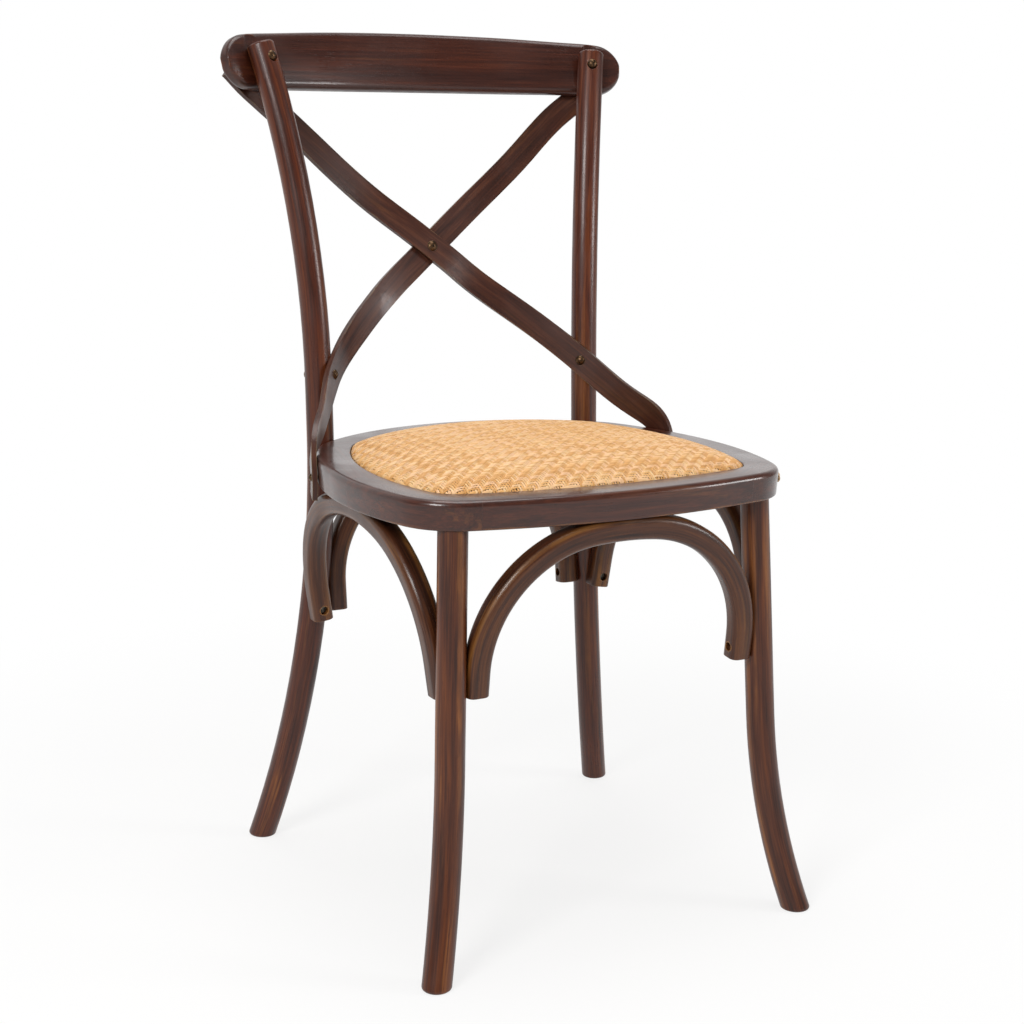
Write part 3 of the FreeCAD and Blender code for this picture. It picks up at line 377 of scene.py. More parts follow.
@dataclass(frozen=True)
class StainedWood:
    """Dark stain under satin lacquer, with grain that follows each bent piece.

    The stain runs from deep to light. Amber shows where it is thin, and the rub colour sits on the edges: rubbed
    edges, and on the straps also a painted edge highlight.
    Cells are counts per metre, two across the grain and one along it.
    """

    name: str
    deep: Colour
    middle: Colour
    light: Colour
    amber: Colour = shade("9a5f2c")
    rub: Colour = shade("a8672f")
    amber_share: float = 0.5
    amber_cut: float = 0.52
    low_gain: float = 0.0
    rub_and_glint_share: float = 0.5
    rub_and_glint_reach: float = 0.0022
    lacquer: float = 0.14
    rough: float = 0.34
    pebble: float = 0.3
    level_wear: bool = False
    broad_cells: Triple = (130.0, 130.0, 5.0)
    fine_cells: Triple = (620.0, 620.0, 14.0)
    pore_cells: Triple = (1700.0, 1700.0, 75.0)
    streak_cells: Triple = (85.0, 85.0, 3.2)
    cloud_cells: float = 13.0
    wear_cells: float = 34.0
    pebble_cells: float = 620.0

    def glow(self, s: MaterialSketch, grain: Socket, cloud: Socket) -> Socket:
        """Finds where the stain is thin, more so towards the floor.

        Args:
            s: The sketch.
            grain: Place in the grain.
            cloud: Broad pattern that gathers the thin spots.

        Returns:
            Weight of the amber.
        """
        streak = s.noise(grain, self.streak_cells, 5.0, 0.62, 0.3)
        glow = s.times(s.step(streak, self.amber_cut, self.amber_cut + 0.16), s.step(cloud, 0.36, 0.62, 0.25, 1.0))
        low = s.step(s.part(s.place()), 0.46, 0.02, 1.0, 1.0 + self.low_gain)
        return s.maths("MINIMUM", s.times(s.times(glow, low), self.amber_share), 1.0)

    def wear_and_edge_glint(self, s: MaterialSketch) -> Socket:
        """Finds the rubbed edges, in patches; on the straps the same mask also paints a thin edge highlight.

        Args:
            s: The sketch.

        Returns:
            Weight of the rub colour, which on the straps is partly a painted edge highlight. With level_wear the
            upright joints in a wall stay unrubbed.
        """
        if self.level_wear:
            level = s.part(s.facing())
            tilt = s.maths("ABSOLUTE", s.maths("SUBTRACT", s.part(s.rounded(self.rub_and_glint_reach, 6)), level))
            edge_mask = s.times(s.step(tilt, 0.06, 0.3), s.step(level, 0.5, 0.8, 1.0, 0.0))
        else:
            edge_mask = s.edge(self.rub_and_glint_reach, 0.012, 0.16)
        patches = s.step(s.noise(s.place(), self.wear_cells, 4.0, 0.6), 0.40, 0.62)
        return s.times(s.times(edge_mask, patches), self.rub_and_glint_share)

    def material(self) -> bpy.types.Material:
        """Builds the material.

        Returns:
            The wood material, which reads the piece's grain attribute.
        """
        s = MaterialSketch(self.name)
        grain, place = s.attribute("grain"), s.place()
        broad = s.noise(grain, self.broad_cells, 4.0, 0.6, 0.6)
        fine = s.noise(grain, self.fine_cells, 3.0, 0.6)
        pores = s.step(s.noise(grain, self.pore_cells, 2.0, 0.5), 0.60, 0.72, 0.0, 0.45)
        cloud = s.noise(place, self.cloud_cells, 3.0, 0.5, 0.4)
        stain = s.ramp(s.plus(s.times(broad, 0.62), s.times(fine, 0.38)),
                       [(0.36, self.deep), (0.50, self.middle), (0.66, self.light)])
        colour = s.mix(self.glow(s, grain, cloud), stain, self.amber)
        colour = s.mix(pores, colour, self.deep)
        # Edge colour: rubbed edges, and on the straps partly a painted edge highlight.
        colour = s.mix(self.wear_and_edge_glint(s), colour, self.rub)
        pebbles = s.noise(place, self.pebble_cells, 2.0, 0.5)
        relief = s.plus(s.times(fine, 0.45), s.times(pebbles, self.pebble))
        relief = s.maths("SUBTRACT", relief, s.times(pores, 0.5))
        rough = s.step(s.plus(cloud, s.times(fine, 0.3)), 0.45, 0.85, self.rough - 0.07, self.rough + 0.10)
        return s.finish(Base_Color=colour, Roughness=rough, Specular_IOR_Level=0.32, Coat_Weight=self.lacquer,
                        Coat_Roughness=0.14, Coat_IOR=1.5,
                        Normal=s.relief(relief, 0.35, 0.0005, s.rounded(0.0009)))


@dataclass(frozen=True)
class CaneFinish:
    """Peeled cane strands, straw to honey, each with its own tone."""

    name: str = "rattan"
    pale: Colour = shade("eac590")
    honey: Colour = shade("dda866")
    straw: Colour = shade("c98f4a")
    rosy: Colour = shade("e6b98c")
    knot: Colour = shade("7a4a20")

    def material(self) -> bpy.types.Material:
        """Builds the material.

        Returns:
            The cane material, which reads the tone and strand attributes.
        """
        s = MaterialSketch(self.name)
        strand = s.attribute("strand")
        along = s.noise(strand, (1.0, 1.0, 42.0), 3.0, 0.6)
        mixed = s.plus(s.times(s.attribute("tone", "Fac"), 0.62), s.times(along, 0.38))
        base = s.ramp(mixed, [(0.22, self.straw), (0.42, self.honey), (0.58, self.pale), (0.74, self.rosy)])
        fibre = s.noise(strand, (3800.0, 1.0, 34.0), 2.0, 0.6)
        base = s.mix(s.step(fibre, 0.42, 0.72, 0.0, 0.5), base, self.straw)
        patch = s.step(s.noise(s.place(), 11.0, 3.0, 0.6), 0.52, 0.72, 0.0, 0.2)
        base = s.mix(patch, base, self.straw)
        spot = s.step(s.noise(strand, (300.0, 1.0, 120.0), 2.0, 0.5), 0.715, 0.765, 0.0, 0.7)
        base = s.mix(spot, base, self.knot)
        normal = s.relief(s.plus(fibre, s.times(along, 0.5)), 0.4, 0.0002)
        rough = s.step(fibre, 0.3, 0.7, 0.38, 0.55)
        return s.finish(Base_Color=base, Roughness=rough, Sheen_Weight=0.08, Sheen_Roughness=0.5, Normal=normal)


@dataclass(frozen=True)
class PaintedGapShadePadFinish:
    """Dark brown cloth over the foam, seen only through the pin gaps of the weave; its dark colour is painted shade
    for those gaps.
    """

    name: str = "foam"
    # Both tones are kept dark as painted shade in the weave's pin gaps.
    gap_shade_dark: Colour = shade("23150a")
    light: Colour = shade("3a2412")

    def material(self) -> bpy.types.Material:
        """Builds the material.

        Returns:
            A plain dark cloth with a small thread pattern, painted shade for the pin gaps.
        """
        s = MaterialSketch(self.name)
        place = s.place()
        weave = s.times(s.bands(place, "X", 240.0, 1.2), s.bands(place, "Y", 240.0, 1.2))
        cloud = s.noise(place, 30.0)
        colour = s.ramp(s.plus(s.times(weave, 0.6), s.times(cloud, 0.5)), [(0.2, self.gap_shade_dark), (0.8, self.light)])
        return s.finish(Base_Color=colour, Roughness=0.92, Normal=s.relief(weave, 0.5, 0.0003))


@dataclass(frozen=True)
class PlyFinish:
    """Raw wood: the plywood of the board and, in other colours, the beech of the dowels."""

    name: str = "plywood"
    pale: Colour = shade("c9a36c")
    deep: Colour = shade("93683a")

    def material(self) -> bpy.types.Material:
        """Builds the material.

        Returns:
            Plywood with long grain on the faces and plies on the edge.
        """
        s = MaterialSketch(self.name)
        place = s.place()
        grain = s.noise(place, (6.0, 240.0, 40.0), 4.0, 0.6, 0.8)
        mixed = s.plus(s.times(grain, 0.75), s.times(s.bands(place, "Z", 170.0), 0.25))
        colour = s.ramp(mixed, [(0.25, self.deep), (0.7, self.pale)])
        return s.finish(Base_Color=colour, Roughness=0.7, Normal=s.relief(grain, 0.3, 0.0004))


@dataclass(frozen=True)
class MetalFinish:
    """Fastener metal, from aged brass to zinc grey."""

    name: str
    bright: Colour
    tarnish: Colour
    rub: Colour
    rough: float = 0.38

    def material(self) -> bpy.types.Material:
        """Builds the material.

        Returns:
            Metal with tarnish in patches and rubbed high points.
        """
        s = MaterialSketch(self.name)
        place = s.place()
        patch = s.noise(place, 420.0, 4.0, 0.65, 0.5)
        fine = s.noise(place, 2400.0, 2.0, 0.6)
        colour = s.ramp(patch, [(0.36, self.tarnish), (0.56, self.bright)])
        colour = s.mix(s.times(s.edge(0.0009, 0.02, 0.2), 0.6), colour, self.rub)
        rough = s.step(patch, 0.3, 0.7, self.rough + 0.12, self.rough - 0.08)
        return s.finish(Base_Color=colour, Metallic=0.9, Roughness=rough,
                        Normal=s.relief(s.plus(patch, fine), 0.25, 0.0002, s.rounded(0.0004)))


POST_WOOD = StainedWood("stained_wood_posts", shade("2c120a"), shade("4c2213"), shade("693518"),
                        amber_share=0.45, low_gain=0.5, rub_and_glint_share=0.35)
LEG_WOOD = StainedWood("stained_wood_legs", shade("2a120a"), shade("4a2312"), shade("673516"),
                       amber_share=0.5, amber_cut=0.50, low_gain=0.4, rub_and_glint_share=0.4)
HOOP_WOOD = StainedWood("stained_wood_hoops", shade("28130a"), shade("462412"), shade("63391b"),
                        amber=shade("94622c"), amber_share=0.62, amber_cut=0.50, rub=shade("ad783c"),
                        rub_and_glint_share=0.8, rub_and_glint_reach=0.003, pebble=0.6)
CREST_WOOD = StainedWood("stained_wood_crest", shade("2a0f08"), shade("38180e"), shade("4a2112"),
                         amber_share=0.12, amber_cut=0.56, rub=shade("96541f"), rub_and_glint_share=0.6,
                         rub_and_glint_reach=0.0035, lacquer=0.3, rough=0.32)
RING_WOOD = StainedWood("stained_wood_ring", shade("2a1009"), shade("3c1a0f"), shade("522616"),
                        amber_share=0.2, amber_cut=0.55, rub=shade("9a6430"), rub_and_glint_share=0.9, rub_and_glint_reach=0.0026,
                        lacquer=0.5, rough=0.32, level_wear=True)
# Straps: the grey-tan rub colour on thin edges is partly rubbing of the edges and partly a painted edge highlight.
STRAP_WOOD = StainedWood("stained_wood_straps", shade("2d150d"), shade("402015"), shade("55301f"),
                         amber_share=0.16, rub=shade("86704f"), rub_and_glint_share=0.85, rub_and_glint_reach=0.0016, rough=0.38)
BRASS = MetalFinish("aged_brass", shade("5e4630"), shade("1f1711"), shade("9c8562"))
STEEL = MetalFinish("screw_steel", shade("77736a"), shade("2c2620"), shade("a39e92"), 0.42)
BEECH = PlyFinish("beech_dowel", shade("d8b58a"), shade("b08a5c"))
Finish = StainedWood | CaneFinish | PaintedGapShadePadFinish | PlyFinish | MetalFinish
_MADE: dict[str, bpy.types.Material] = {}


def dress(obj: bpy.types.Object, finish: Finish) -> None:
    """Gives a piece a finish as its only material.

    Args:
        obj: The piece.
        finish: The finish, whose material is made once.
    """
    if finish.name not in _MADE:
        _MADE[finish.name] = finish.material()
    obj.data.materials.clear()
    obj.data.materials.append(_MADE[finish.name])


# Centre lines
@dataclass(frozen=True)
class Bend:
    """One arc of a bent piece: radius in millimetres and turn in degrees."""

    radius: float
    turn: float


@dataclass
class CentreLine:
    """The line down the middle of a bent piece, along which its grain runs."""

    points: np.ndarray

    @classmethod
    def walk(cls, start: Sequence[float], heading: Sequence[float], normal: Sequence[float],
             moves: Sequence[float | Bend]) -> "CentreLine":
        """Follows straight and bent moves in one plane.

        Args:
            start: First point in layout millimetres.
            heading: Direction at the start.
            normal: Normal of the plane of bending.
            moves: Lengths and bends; a positive turn is counter-clockwise about the normal.

        Returns:
            The centre line.
        """
        place, ahead, axis = np.asarray(start, float), unit(heading), unit(normal)
        points = [place]
        for move in moves:
            if not isinstance(move, Bend):
                place = place + ahead * move
                points.append(place)
                continue
            sign = 1.0 if move.turn > 0 else -1.0
            centre = place + unit(np.cross(axis, ahead)) * sign * move.radius
            count = max(2, math.ceil(abs(move.turn) / 3.0))
            turn = np.array(Matrix.Rotation(math.radians(move.turn) / count, 3, Vector(axis)))
            for _ in range(count):
                place = centre + turn @ (place - centre)
                ahead = turn @ ahead
                points.append(place)
        return cls(np.array(points))

    @classmethod
    def through(cls, stations: Sequence[Sequence[float]]) -> "CentreLine":
        """Runs smoothly through stations.

        Args:
            stations: Points in layout millimetres.

        Returns:
            The centre line.
        """
        p = np.array(stations, float)
        p = np.vstack([2 * p[0] - p[1], p, 2 * p[-1] - p[-2]])
        rows = []
        for i in range(1, len(p) - 2):
            for t in np.linspace(0.0, 1.0, 6)[:-1]:
                a, b, c, d = p[i - 1], p[i], p[i + 1], p[i + 2]
                rows.append(0.5 * (2 * b + (c - a) * t + (2 * a - 5 * b + 4 * c - d) * t ** 2
                                   + (3 * b - a - 3 * c + d) * t ** 3))
        rows.append(p[-2])
        return cls(np.array(rows))

    def on(self, side: Side) -> "CentreLine":
        """Returns the line for that half of the chair."""
        return CentreLine(self.points * np.array([side.value, 1.0, 1.0]))

    def measure(self, points: np.ndarray) -> np.ndarray:
        """Finds where points lie about the line.

        Args:
            points: Layout points in millimetres.

        Returns:
            Two offsets across the line and the length along it, for each point.
        """
        starts, steps = self.points[:-1], np.diff(self.points, axis=0)
        lengths = np.linalg.norm(steps, axis=1)
        before = np.concatenate([[0.0], np.cumsum(lengths)])
        best = np.full(len(points), np.inf)
        out = np.zeros((len(points), 3))
        across = unit(np.cross(steps[0], ASKEW))
        for i, (a, d, size) in enumerate(zip(starts, steps, lengths)):
            t = d / size
            across = unit(across - t * (across @ t))
            other = np.cross(t, across)
            rel = points - a
            run = rel @ t
            low = -np.inf if i == 0 else 0.0
            high = np.inf if i == len(starts) - 1 else size
            run = np.clip(run, low, high)
            off = rel - run[:, None] * t
            far = (off * off).sum(axis=1)
            near = far < best
            best[near] = far[near]
            out[near] = np.stack([off[near] @ across, off[near] @ other, before[i] + run[near]], axis=1)
        return out


@dataclass
class WoodPiece:
    """A wooden piece that keeps its modelled shape and gets grain along its centre line.

    Pieces with other seeds lie apart in the grain, so that no two look alike.
    """

    node: str
    line: CentreLine
    finish: StainedWood
    seed: int = 0
    smooth: float = 34.0
    apart: Triple = (0.0371, 0.0523, 0.733)

    def build(self) -> bpy.types.Object:
        """Copies the node's mesh, merges it, lays the grain and dresses it.

        Returns:
            The dressed piece.
        """
        mesh = frame["nodes"][self.node].data.copy()
        mesh.name = self.node + "_wood"
        piece = linked(self.node + "_wood", mesh)
        only(piece)
        bpy.ops.mesh.customdata_custom_splitnormals_clear()
        bpy.ops.object.mode_set(mode="EDIT")
        bpy.ops.mesh.select_all(action="SELECT")
        bpy.ops.mesh.remove_doubles(threshold=MERGE)
        bpy.ops.object.mode_set(mode="OBJECT")
        smooth(piece, self.smooth)
        corners = np.zeros(len(mesh.vertices) * 3, np.float32)
        mesh.vertices.foreach_get("co", corners)
        grain = self.line.measure(to_layout(corners.reshape(-1, 3))) * MM
        mark(mesh, "grain", grain + np.array(self.apart) * self.seed)
        dress(piece, self.finish)
        book(piece, self.node)
        LOG.info("wood piece %s: %d faces", piece.name, len(mesh.polygons))
        return piece


# Sub-assemblies
@dataclass
class BackFrame:
    """Back posts, crest rail and the two crossed straps."""

    post: Triple = (163.7, 157.2, 490.0)
    post_lean: Triple = (0.005, 0.06, 1.0)
    post_bend_way: float = 51.5
    post_straight: tuple[float, float] = (465.0, 513.0)
    post_bends: tuple[Bend, Bend] = (Bend(1210.0, -27.0), Bend(1150.0, 22.0))
    crest_centre: float = -278.92
    crest_radius: float = 559.5
    crest_turn: float = 27.0
    crest_z: float = 852.75
    strap_run: tuple[Triple, ...] = (
        (210.8, 58.9, 417.0), (210.6, 60.0, 444.5), (209.1, 65.0, 460.0), (189.5, 92.5, 484.5),
        (152.2, 146.6, 527.0), (93.1, 193.0, 580.0), (46.0, 216.2, 616.5), (0.0, 226.3, 652.2),
        (-62.0, 241.0, 701.0), (-120.0, 246.5, 750.0), (-175.5, 251.0, 800.0), (-204.0, 246.6, 822.0),
        (-229.0, 243.7, 844.5))

    def post_line(self) -> CentreLine:
        """Lays out the right post from its sole to its top.

        Returns:
            The centre line.
        """
        heading = unit(self.post_lean)
        way = math.radians(self.post_bend_way)
        normal = np.cross(heading, [math.cos(way), math.sin(way), 0.0])
        base = np.array(self.post)
        low, high = (base + heading * ((z - base[2]) / heading[2]) for z in self.post_straight)
        lower = CentreLine.walk(low, -heading, normal, [self.post_bends[0]])
        upper = CentreLine.walk(high, heading, normal, [self.post_bends[1]])
        return CentreLine(np.vstack([lower.points[::-1], upper.points]))

    def crest_line(self) -> CentreLine:
        """Lays out the crest rail from left to right.

        Returns:
            The centre line.
        """
        turns = np.radians(np.linspace(-self.crest_turn, self.crest_turn, 25))
        return CentreLine(np.stack([self.crest_radius * np.sin(turns),
                                    self.crest_centre + self.crest_radius * np.cos(turns),
                                    np.full(len(turns), self.crest_z)], axis=1))

    def build(self) -> list[bpy.types.Object]:
        """Builds and dresses the back.

        Returns:
            The pieces.
        """
        post, strap = self.post_line(), CentreLine.through(self.strap_run)
        return [piece.build() for piece in (
            WoodPiece("left_back_post", post.on(Side.LEFT), POST_WOOD, 1),
            WoodPiece("right_back_post", post.on(Side.RIGHT), POST_WOOD, 2),
            WoodPiece("crest_rail", self.crest_line(), CREST_WOOD, 3, 40.0),
            WoodPiece("front_cross_strap", strap.on(Side.RIGHT), STRAP_WOOD, 4),
            WoodPiece("rear_cross_strap", strap.on(Side.LEFT), STRAP_WOOD, 5))]


@dataclass
class SeatRing:
    """The six jointed pieces of the ring, each cut from straight board."""

    height: float = 444.0
    chords: dict[str, tuple[tuple[float, float], tuple[float, float]]] = field(default_factory=lambda: {
        "seat_front_rail": ((-151.0, -200.0), (151.0, -200.0)),
        "seat_left_corner": ((-226.0, -58.0), (-151.0, -200.0)),
        "seat_right_corner": ((151.0, -200.0), (214.0, -150.0)),
        "seat_left_rail": ((-187.0, 106.0), (-226.0, -58.0)),
        "seat_right_rail": ((214.0, -150.0), (187.0, 106.0)),
        "seat_back_rail": ((187.0, 106.0), (-187.0, 106.0))})

    def build(self) -> list[bpy.types.Object]:
        """Builds and dresses the ring.

        Returns:
            The pieces.
        """
        made = []
        for seed, (node, (a, b)) in enumerate(self.chords.items(), 11):
            line = CentreLine(np.array([(a[0], a[1], self.height), (b[0], b[1], self.height)]))
            made.append(WoodPiece(node, line, RING_WOOD, seed, 30.0).build())
        return made


@dataclass(frozen=True)
class Hoop:
    """A bent brace in its leaning plane: half width, height of the ends, offsets and radii."""

    half: float
    end_z: float
    foot: float
    top: float
    apex: float
    shoulder: float
    at: Callable[[float, float, float], Triple]
    apex_z: float = 420.3
    seat_low: float = 430.0

    def line(self) -> CentreLine:
        """Lays out the hoop from one limb's end to the other's.

        Returns:
            The centre line.
        """
        slope = (self.top - self.foot) / (self.seat_low - self.end_z)
        origin = np.array(self.at(0.0, self.foot, self.end_z))
        rise = unit(np.array(self.at(0.0, self.foot + slope, self.end_z + 1.0)) - origin)
        along = unit(np.array(self.at(1.0, self.foot, self.end_z)) - origin)
        reach, shift = self.apex - self.shoulder, self.half - self.shoulder
        drop = math.sqrt(reach * reach - shift * shift)
        limb = (self.apex_z - self.end_z) * math.hypot(1.0, slope) - self.apex + drop
        swing = math.degrees(math.asin(drop / reach))
        corner = Bend(self.shoulder, swing)
        return CentreLine.walk(origin + along * self.half, rise, np.cross(along, rise),
                               [limb, corner, Bend(self.apex, 180.0 - 2.0 * swing), corner, limb])


@dataclass
class Underframe:
    """Front legs and the four hoops under the seat."""

    leg_top: Triple = (169.6, -176.1, 430.0)
    leg_lean: Triple = (0.037, -0.0725, -1.0)
    leg_bend_z: float = 206.0
    leg_bend: Bend = Bend(709.0, 20.0)
    leg_bend_way: float = -45.0
    front: Hoop = Hoop(149.3, 268.6, -186.3, -204.0, 320.0, 128.0, lambda a, o, z: (a, o, z))
    rear: Hoop = Hoop(146.46, 266.0, 154.8, 176.0, 206.0, 122.0, lambda a, o, z: (a, o, z))
    flank: Hoop = Hoop(146.4, 264.5, 172.8, 198.3, 206.0, 122.0, lambda a, o, z: (o, a - 15.7, z))

    def leg_line(self) -> CentreLine:
        """Lays out the right leg from its top to its sole.

        Returns:
            The centre line.
        """
        heading = unit(self.leg_lean)
        way = math.radians(self.leg_bend_way)
        normal = np.cross(heading, [math.cos(way), math.sin(way), 0.0])
        straight = (self.leg_bend_z - self.leg_top[2]) / heading[2]
        return CentreLine.walk(self.leg_top, heading, normal, [straight, self.leg_bend])

    def build(self) -> list[bpy.types.Object]:
        """Builds and dresses legs and hoops.

        Returns:
            The pieces.
        """
        leg, flank = self.leg_line(), self.flank.line()
        return [piece.build() for piece in (
            WoodPiece("front_left_leg", leg.on(Side.LEFT), LEG_WOOD, 21),
            WoodPiece("front_right_leg", leg.on(Side.RIGHT), LEG_WOOD, 22),
            WoodPiece("front_hoop", self.front.line(), HOOP_WOOD, 23),
            WoodPiece("rear_hoop", self.rear.line(), HOOP_WOOD, 24),
            WoodPiece("left_hoop", flank.on(Side.LEFT), HOOP_WOOD, 25),
            WoodPiece("right_hoop", flank.on(Side.RIGHT), HOOP_WOOD, 26))]


@dataclass
class WovenPanel:
    """Board, foam pad and the twill weave of cane strands over the crown.

    Arcs are the right half of the ring's edge: centre, radius and the turns between which each runs.
    Shares pair a share of the panel's outline with a share of the crown. Lengths are millimetres.
    """

    seat_top: float = 458.5
    rim: float = 36.6
    crown: float = 18.5
    middle_y: float = -15.0
    pitch: float = 2.7
    strand: float = 2.1
    thick: float = 0.8
    floats: int = 3
    lift: float = 0.46
    end_lift: float = 0.4
    sunk: float = 1.0
    tuck: float = 5.5
    cell_edge: float = 0.995
    strand_edge: float = 0.999
    steepest: float = 1.2
    probe: float = 0.9
    flat: float = 0.42
    bevel: float = 0.25
    uneven_width: float = 0.05
    uneven_run: float = 0.10
    uneven_lift: float = 0.03
    apart: tuple[float, float] = (0.013, 0.37)
    pad_inset: float = 3.1
    pad_base_z: float = 453.8
    pad_drop: float = 3.3
    pad_fill: float = 0.9
    arcs: tuple[tuple[tuple[float, float], float, float, float], ...] = (
        ((0.0, 509.0), 725.0, -90.0, -77.1), ((146.79, -131.9), 67.5, -77.1, -16.67),
        ((-120.0, -52.0), 346.0, -16.67, 28.12), ((123.43, 78.07), 70.0, 28.12, 49.99),
        ((0.0, -69.0), 262.0, 49.99, 90.0))
    shares: tuple[tuple[float, float], ...] = (
        (1.0, 0.0), (0.985, 0.17), (0.94, 0.36), (0.86, 0.56), (0.74, 0.74), (0.58, 0.88), (0.38, 0.965),
        (0.15, 1.0), (0.0, 1.002))
    edge_turns: np.ndarray = field(init=False, repr=False)
    edge_sizes: np.ndarray = field(init=False, repr=False)

    def __post_init__(self) -> None:
        """Works out the edge of the weave, once, as turns about the middle and distances from it."""
        edge = self.outline(self.rim) - np.array([0.0, self.middle_y])
        turns = np.arctan2(edge[:, 1], edge[:, 0])
        order = np.argsort(turns)
        turns, sizes = turns[order], np.hypot(edge[order, 0], edge[order, 1])
        self.edge_turns = np.concatenate([[turns[-1] - 2 * math.pi], turns, [turns[0] + 2 * math.pi]])
        self.edge_sizes = np.concatenate([[sizes[-1]], sizes, [sizes[0]]])

    def outline(self, inset: float) -> np.ndarray:
        """Lays out the ring's edge, drawn in.

        Args:
            inset: Distance inside the outer edge of the ring.

        Returns:
            Closed outline points, counter-clockwise from the front.
        """
        right = []
        for (cx, cy), r, a, b in self.arcs:
            for w in np.radians(np.linspace(a, b, 14)[:-1]):
                right.append((cx + (r - inset) * math.cos(w), cy + (r - inset) * math.sin(w)))
        right.append((0.0, self.arcs[-1][0][1] + self.arcs[-1][1] - inset))
        left = [(-x, y) for x, y in reversed(right[1:-1])]
        return np.array(right + left)

    def reach(self, run: Run, along: np.ndarray, across: np.ndarray) -> np.ndarray:
        """Finds how far out points lie.

        Args:
            run: Direction of their strand.
            along: Places along it.
            across: Places across it.

        Returns:
            Distances from the middle as shares of the outline.
        """
        along, across = np.broadcast_arrays(along, across)
        x, y = (along, across) if run is Run.ALONG_X else (across, along)
        y = y - self.middle_y
        return np.hypot(x, y) / np.interp(np.arctan2(y, x), self.edge_turns, self.edge_sizes)

    def dome(self, share: np.ndarray) -> np.ndarray:
        """Finds the height of the woven surface, eased where the crown is flat enough.

        Args:
            share: Shares of the outline.

        Returns:
            Heights.
        """
        share = np.minimum(share, 1.0)
        stops = np.array(self.shares)[::-1]
        fine = np.interp(share, stops[:, 0], stops[:, 1])
        soft = sum(np.interp(np.clip(share + d, 0.0, 1.0), stops[:, 0], stops[:, 1])
                   for d in (-0.035, -0.018, 0.018, 0.035)) / 4.0
        blend = np.clip((0.95 - share) / 0.08, 0.0, 1.0)
        return self.seat_top - 0.5 + (self.crown + 0.5) * (fine * (1.0 - blend) + soft * blend)

    def strand_end(self, run: Run, inner: float, way: float, across: float) -> float:
        """Finds where a strand meets the rim, by halving.

        Args:
            run: Direction of the strand.
            inner: Its last crossing.
            way: Minus one or one, towards the rim.
            across: Place across the run.

        Returns:
            Place along the run.
        """
        low, high = 0.0, self.pitch * 3.0
        for _ in range(24):
            middle = (low + high) / 2.0
            if self.reach(run, np.array([inner + way * middle]), np.array([across]))[0] < self.strand_edge:
                low = middle
            else:
                high = middle
        return inner + way * low

    def stations(self, run: Run, row: int) -> tuple[np.ndarray, np.ndarray] | None:
        """Lays out a strand's crossings and its two ends.

        Args:
            run: Direction of the strand.
            row: Number of the strand, from the middle.

        Returns:
            Places along the run and how far each lies over or under, or nothing if it is too short.
        """
        across = (row + 0.5) * self.pitch
        cells = np.arange(-120, 120)
        along = (cells + 0.5) * self.pitch
        inside = self.reach(run, along, np.array(across)) < self.cell_edge
        if inside.sum() < 3:
            return None
        along, cells = along[inside], cells[inside]
        turn = (cells - row if run is Run.ALONG_X else row - cells) % (2 * self.floats)
        over = np.where((turn < self.floats) == (run is Run.ALONG_X), 1.0, -1.0)
        ends = [self.strand_end(run, along[i], way, across) for i, way in ((0, -1.0), (-1, 1.0))]
        return (np.concatenate([[ends[0]], along, [ends[1]]]),
                np.concatenate([[over[0] * self.end_lift], over, [over[-1] * self.end_lift]]))

    def sweep(self, run: Run, row: int, rng: np.random.Generator) -> tuple[np.ndarray, np.ndarray, np.ndarray] | None:
        """Shapes one strand, a little uneven, with its ends tucked down at the rim.

        Args:
            run: Direction of the strand.
            row: Number of the strand.
            rng: Source of its unevenness.

        Returns:
            Four corner points for each station, tones, and places in the strand, or nothing.
        """
        laid = self.stations(run, row)
        if laid is None:
            return None
        t, over = laid
        wide = 1.0 + rng.normal(0.0, self.uneven_width)
        drift = np.interp(t, np.linspace(t[0], t[-1], 6), rng.normal(0.0, self.uneven_run, 6))
        c = (row + 0.5) * self.pitch + drift
        z = self.dome(self.reach(run, t, c)) - self.sunk + over * (self.lift + rng.normal(0.0, self.uneven_lift))
        before, after = (self.dome(self.reach(run, t, c + way)) for way in (-self.probe, self.probe))
        lean = np.clip((after - before) / (2 * self.probe), -self.steepest, self.steepest)
        t, c, lean = np.pad(t, 1, "edge"), np.pad(c, 1, "edge"), np.pad(lean, 1)
        z = np.concatenate([[z[0] - self.tuck], z, [z[-1] - self.tuck]])
        half, rise = self.strand / 2.0, self.thick / 2.0
        u = np.array([-half, -self.flat * half, self.flat * half, half])
        w = np.array([-self.bevel * rise, rise, rise, -self.bevel * rise])
        points, places = np.zeros((len(t), 4, 3)), np.zeros((len(t), 4, 3))
        first, second = (0, 1) if run is Run.ALONG_X else (1, 0)
        points[:, :, first] = t[:, None]
        points[:, :, second] = c[:, None] + u * wide
        points[:, :, 2] = z[:, None] + w + lean[:, None] * u * wide
        places[:, :, 0] = u * MM + self.apart[0] * row
        places[:, :, 2] = t[:, None] * MM + self.apart[1] * row
        return points.reshape(-1, 3), np.full(len(t) * 4, rng.uniform(0.0, 1.0)), places.reshape(-1, 3)

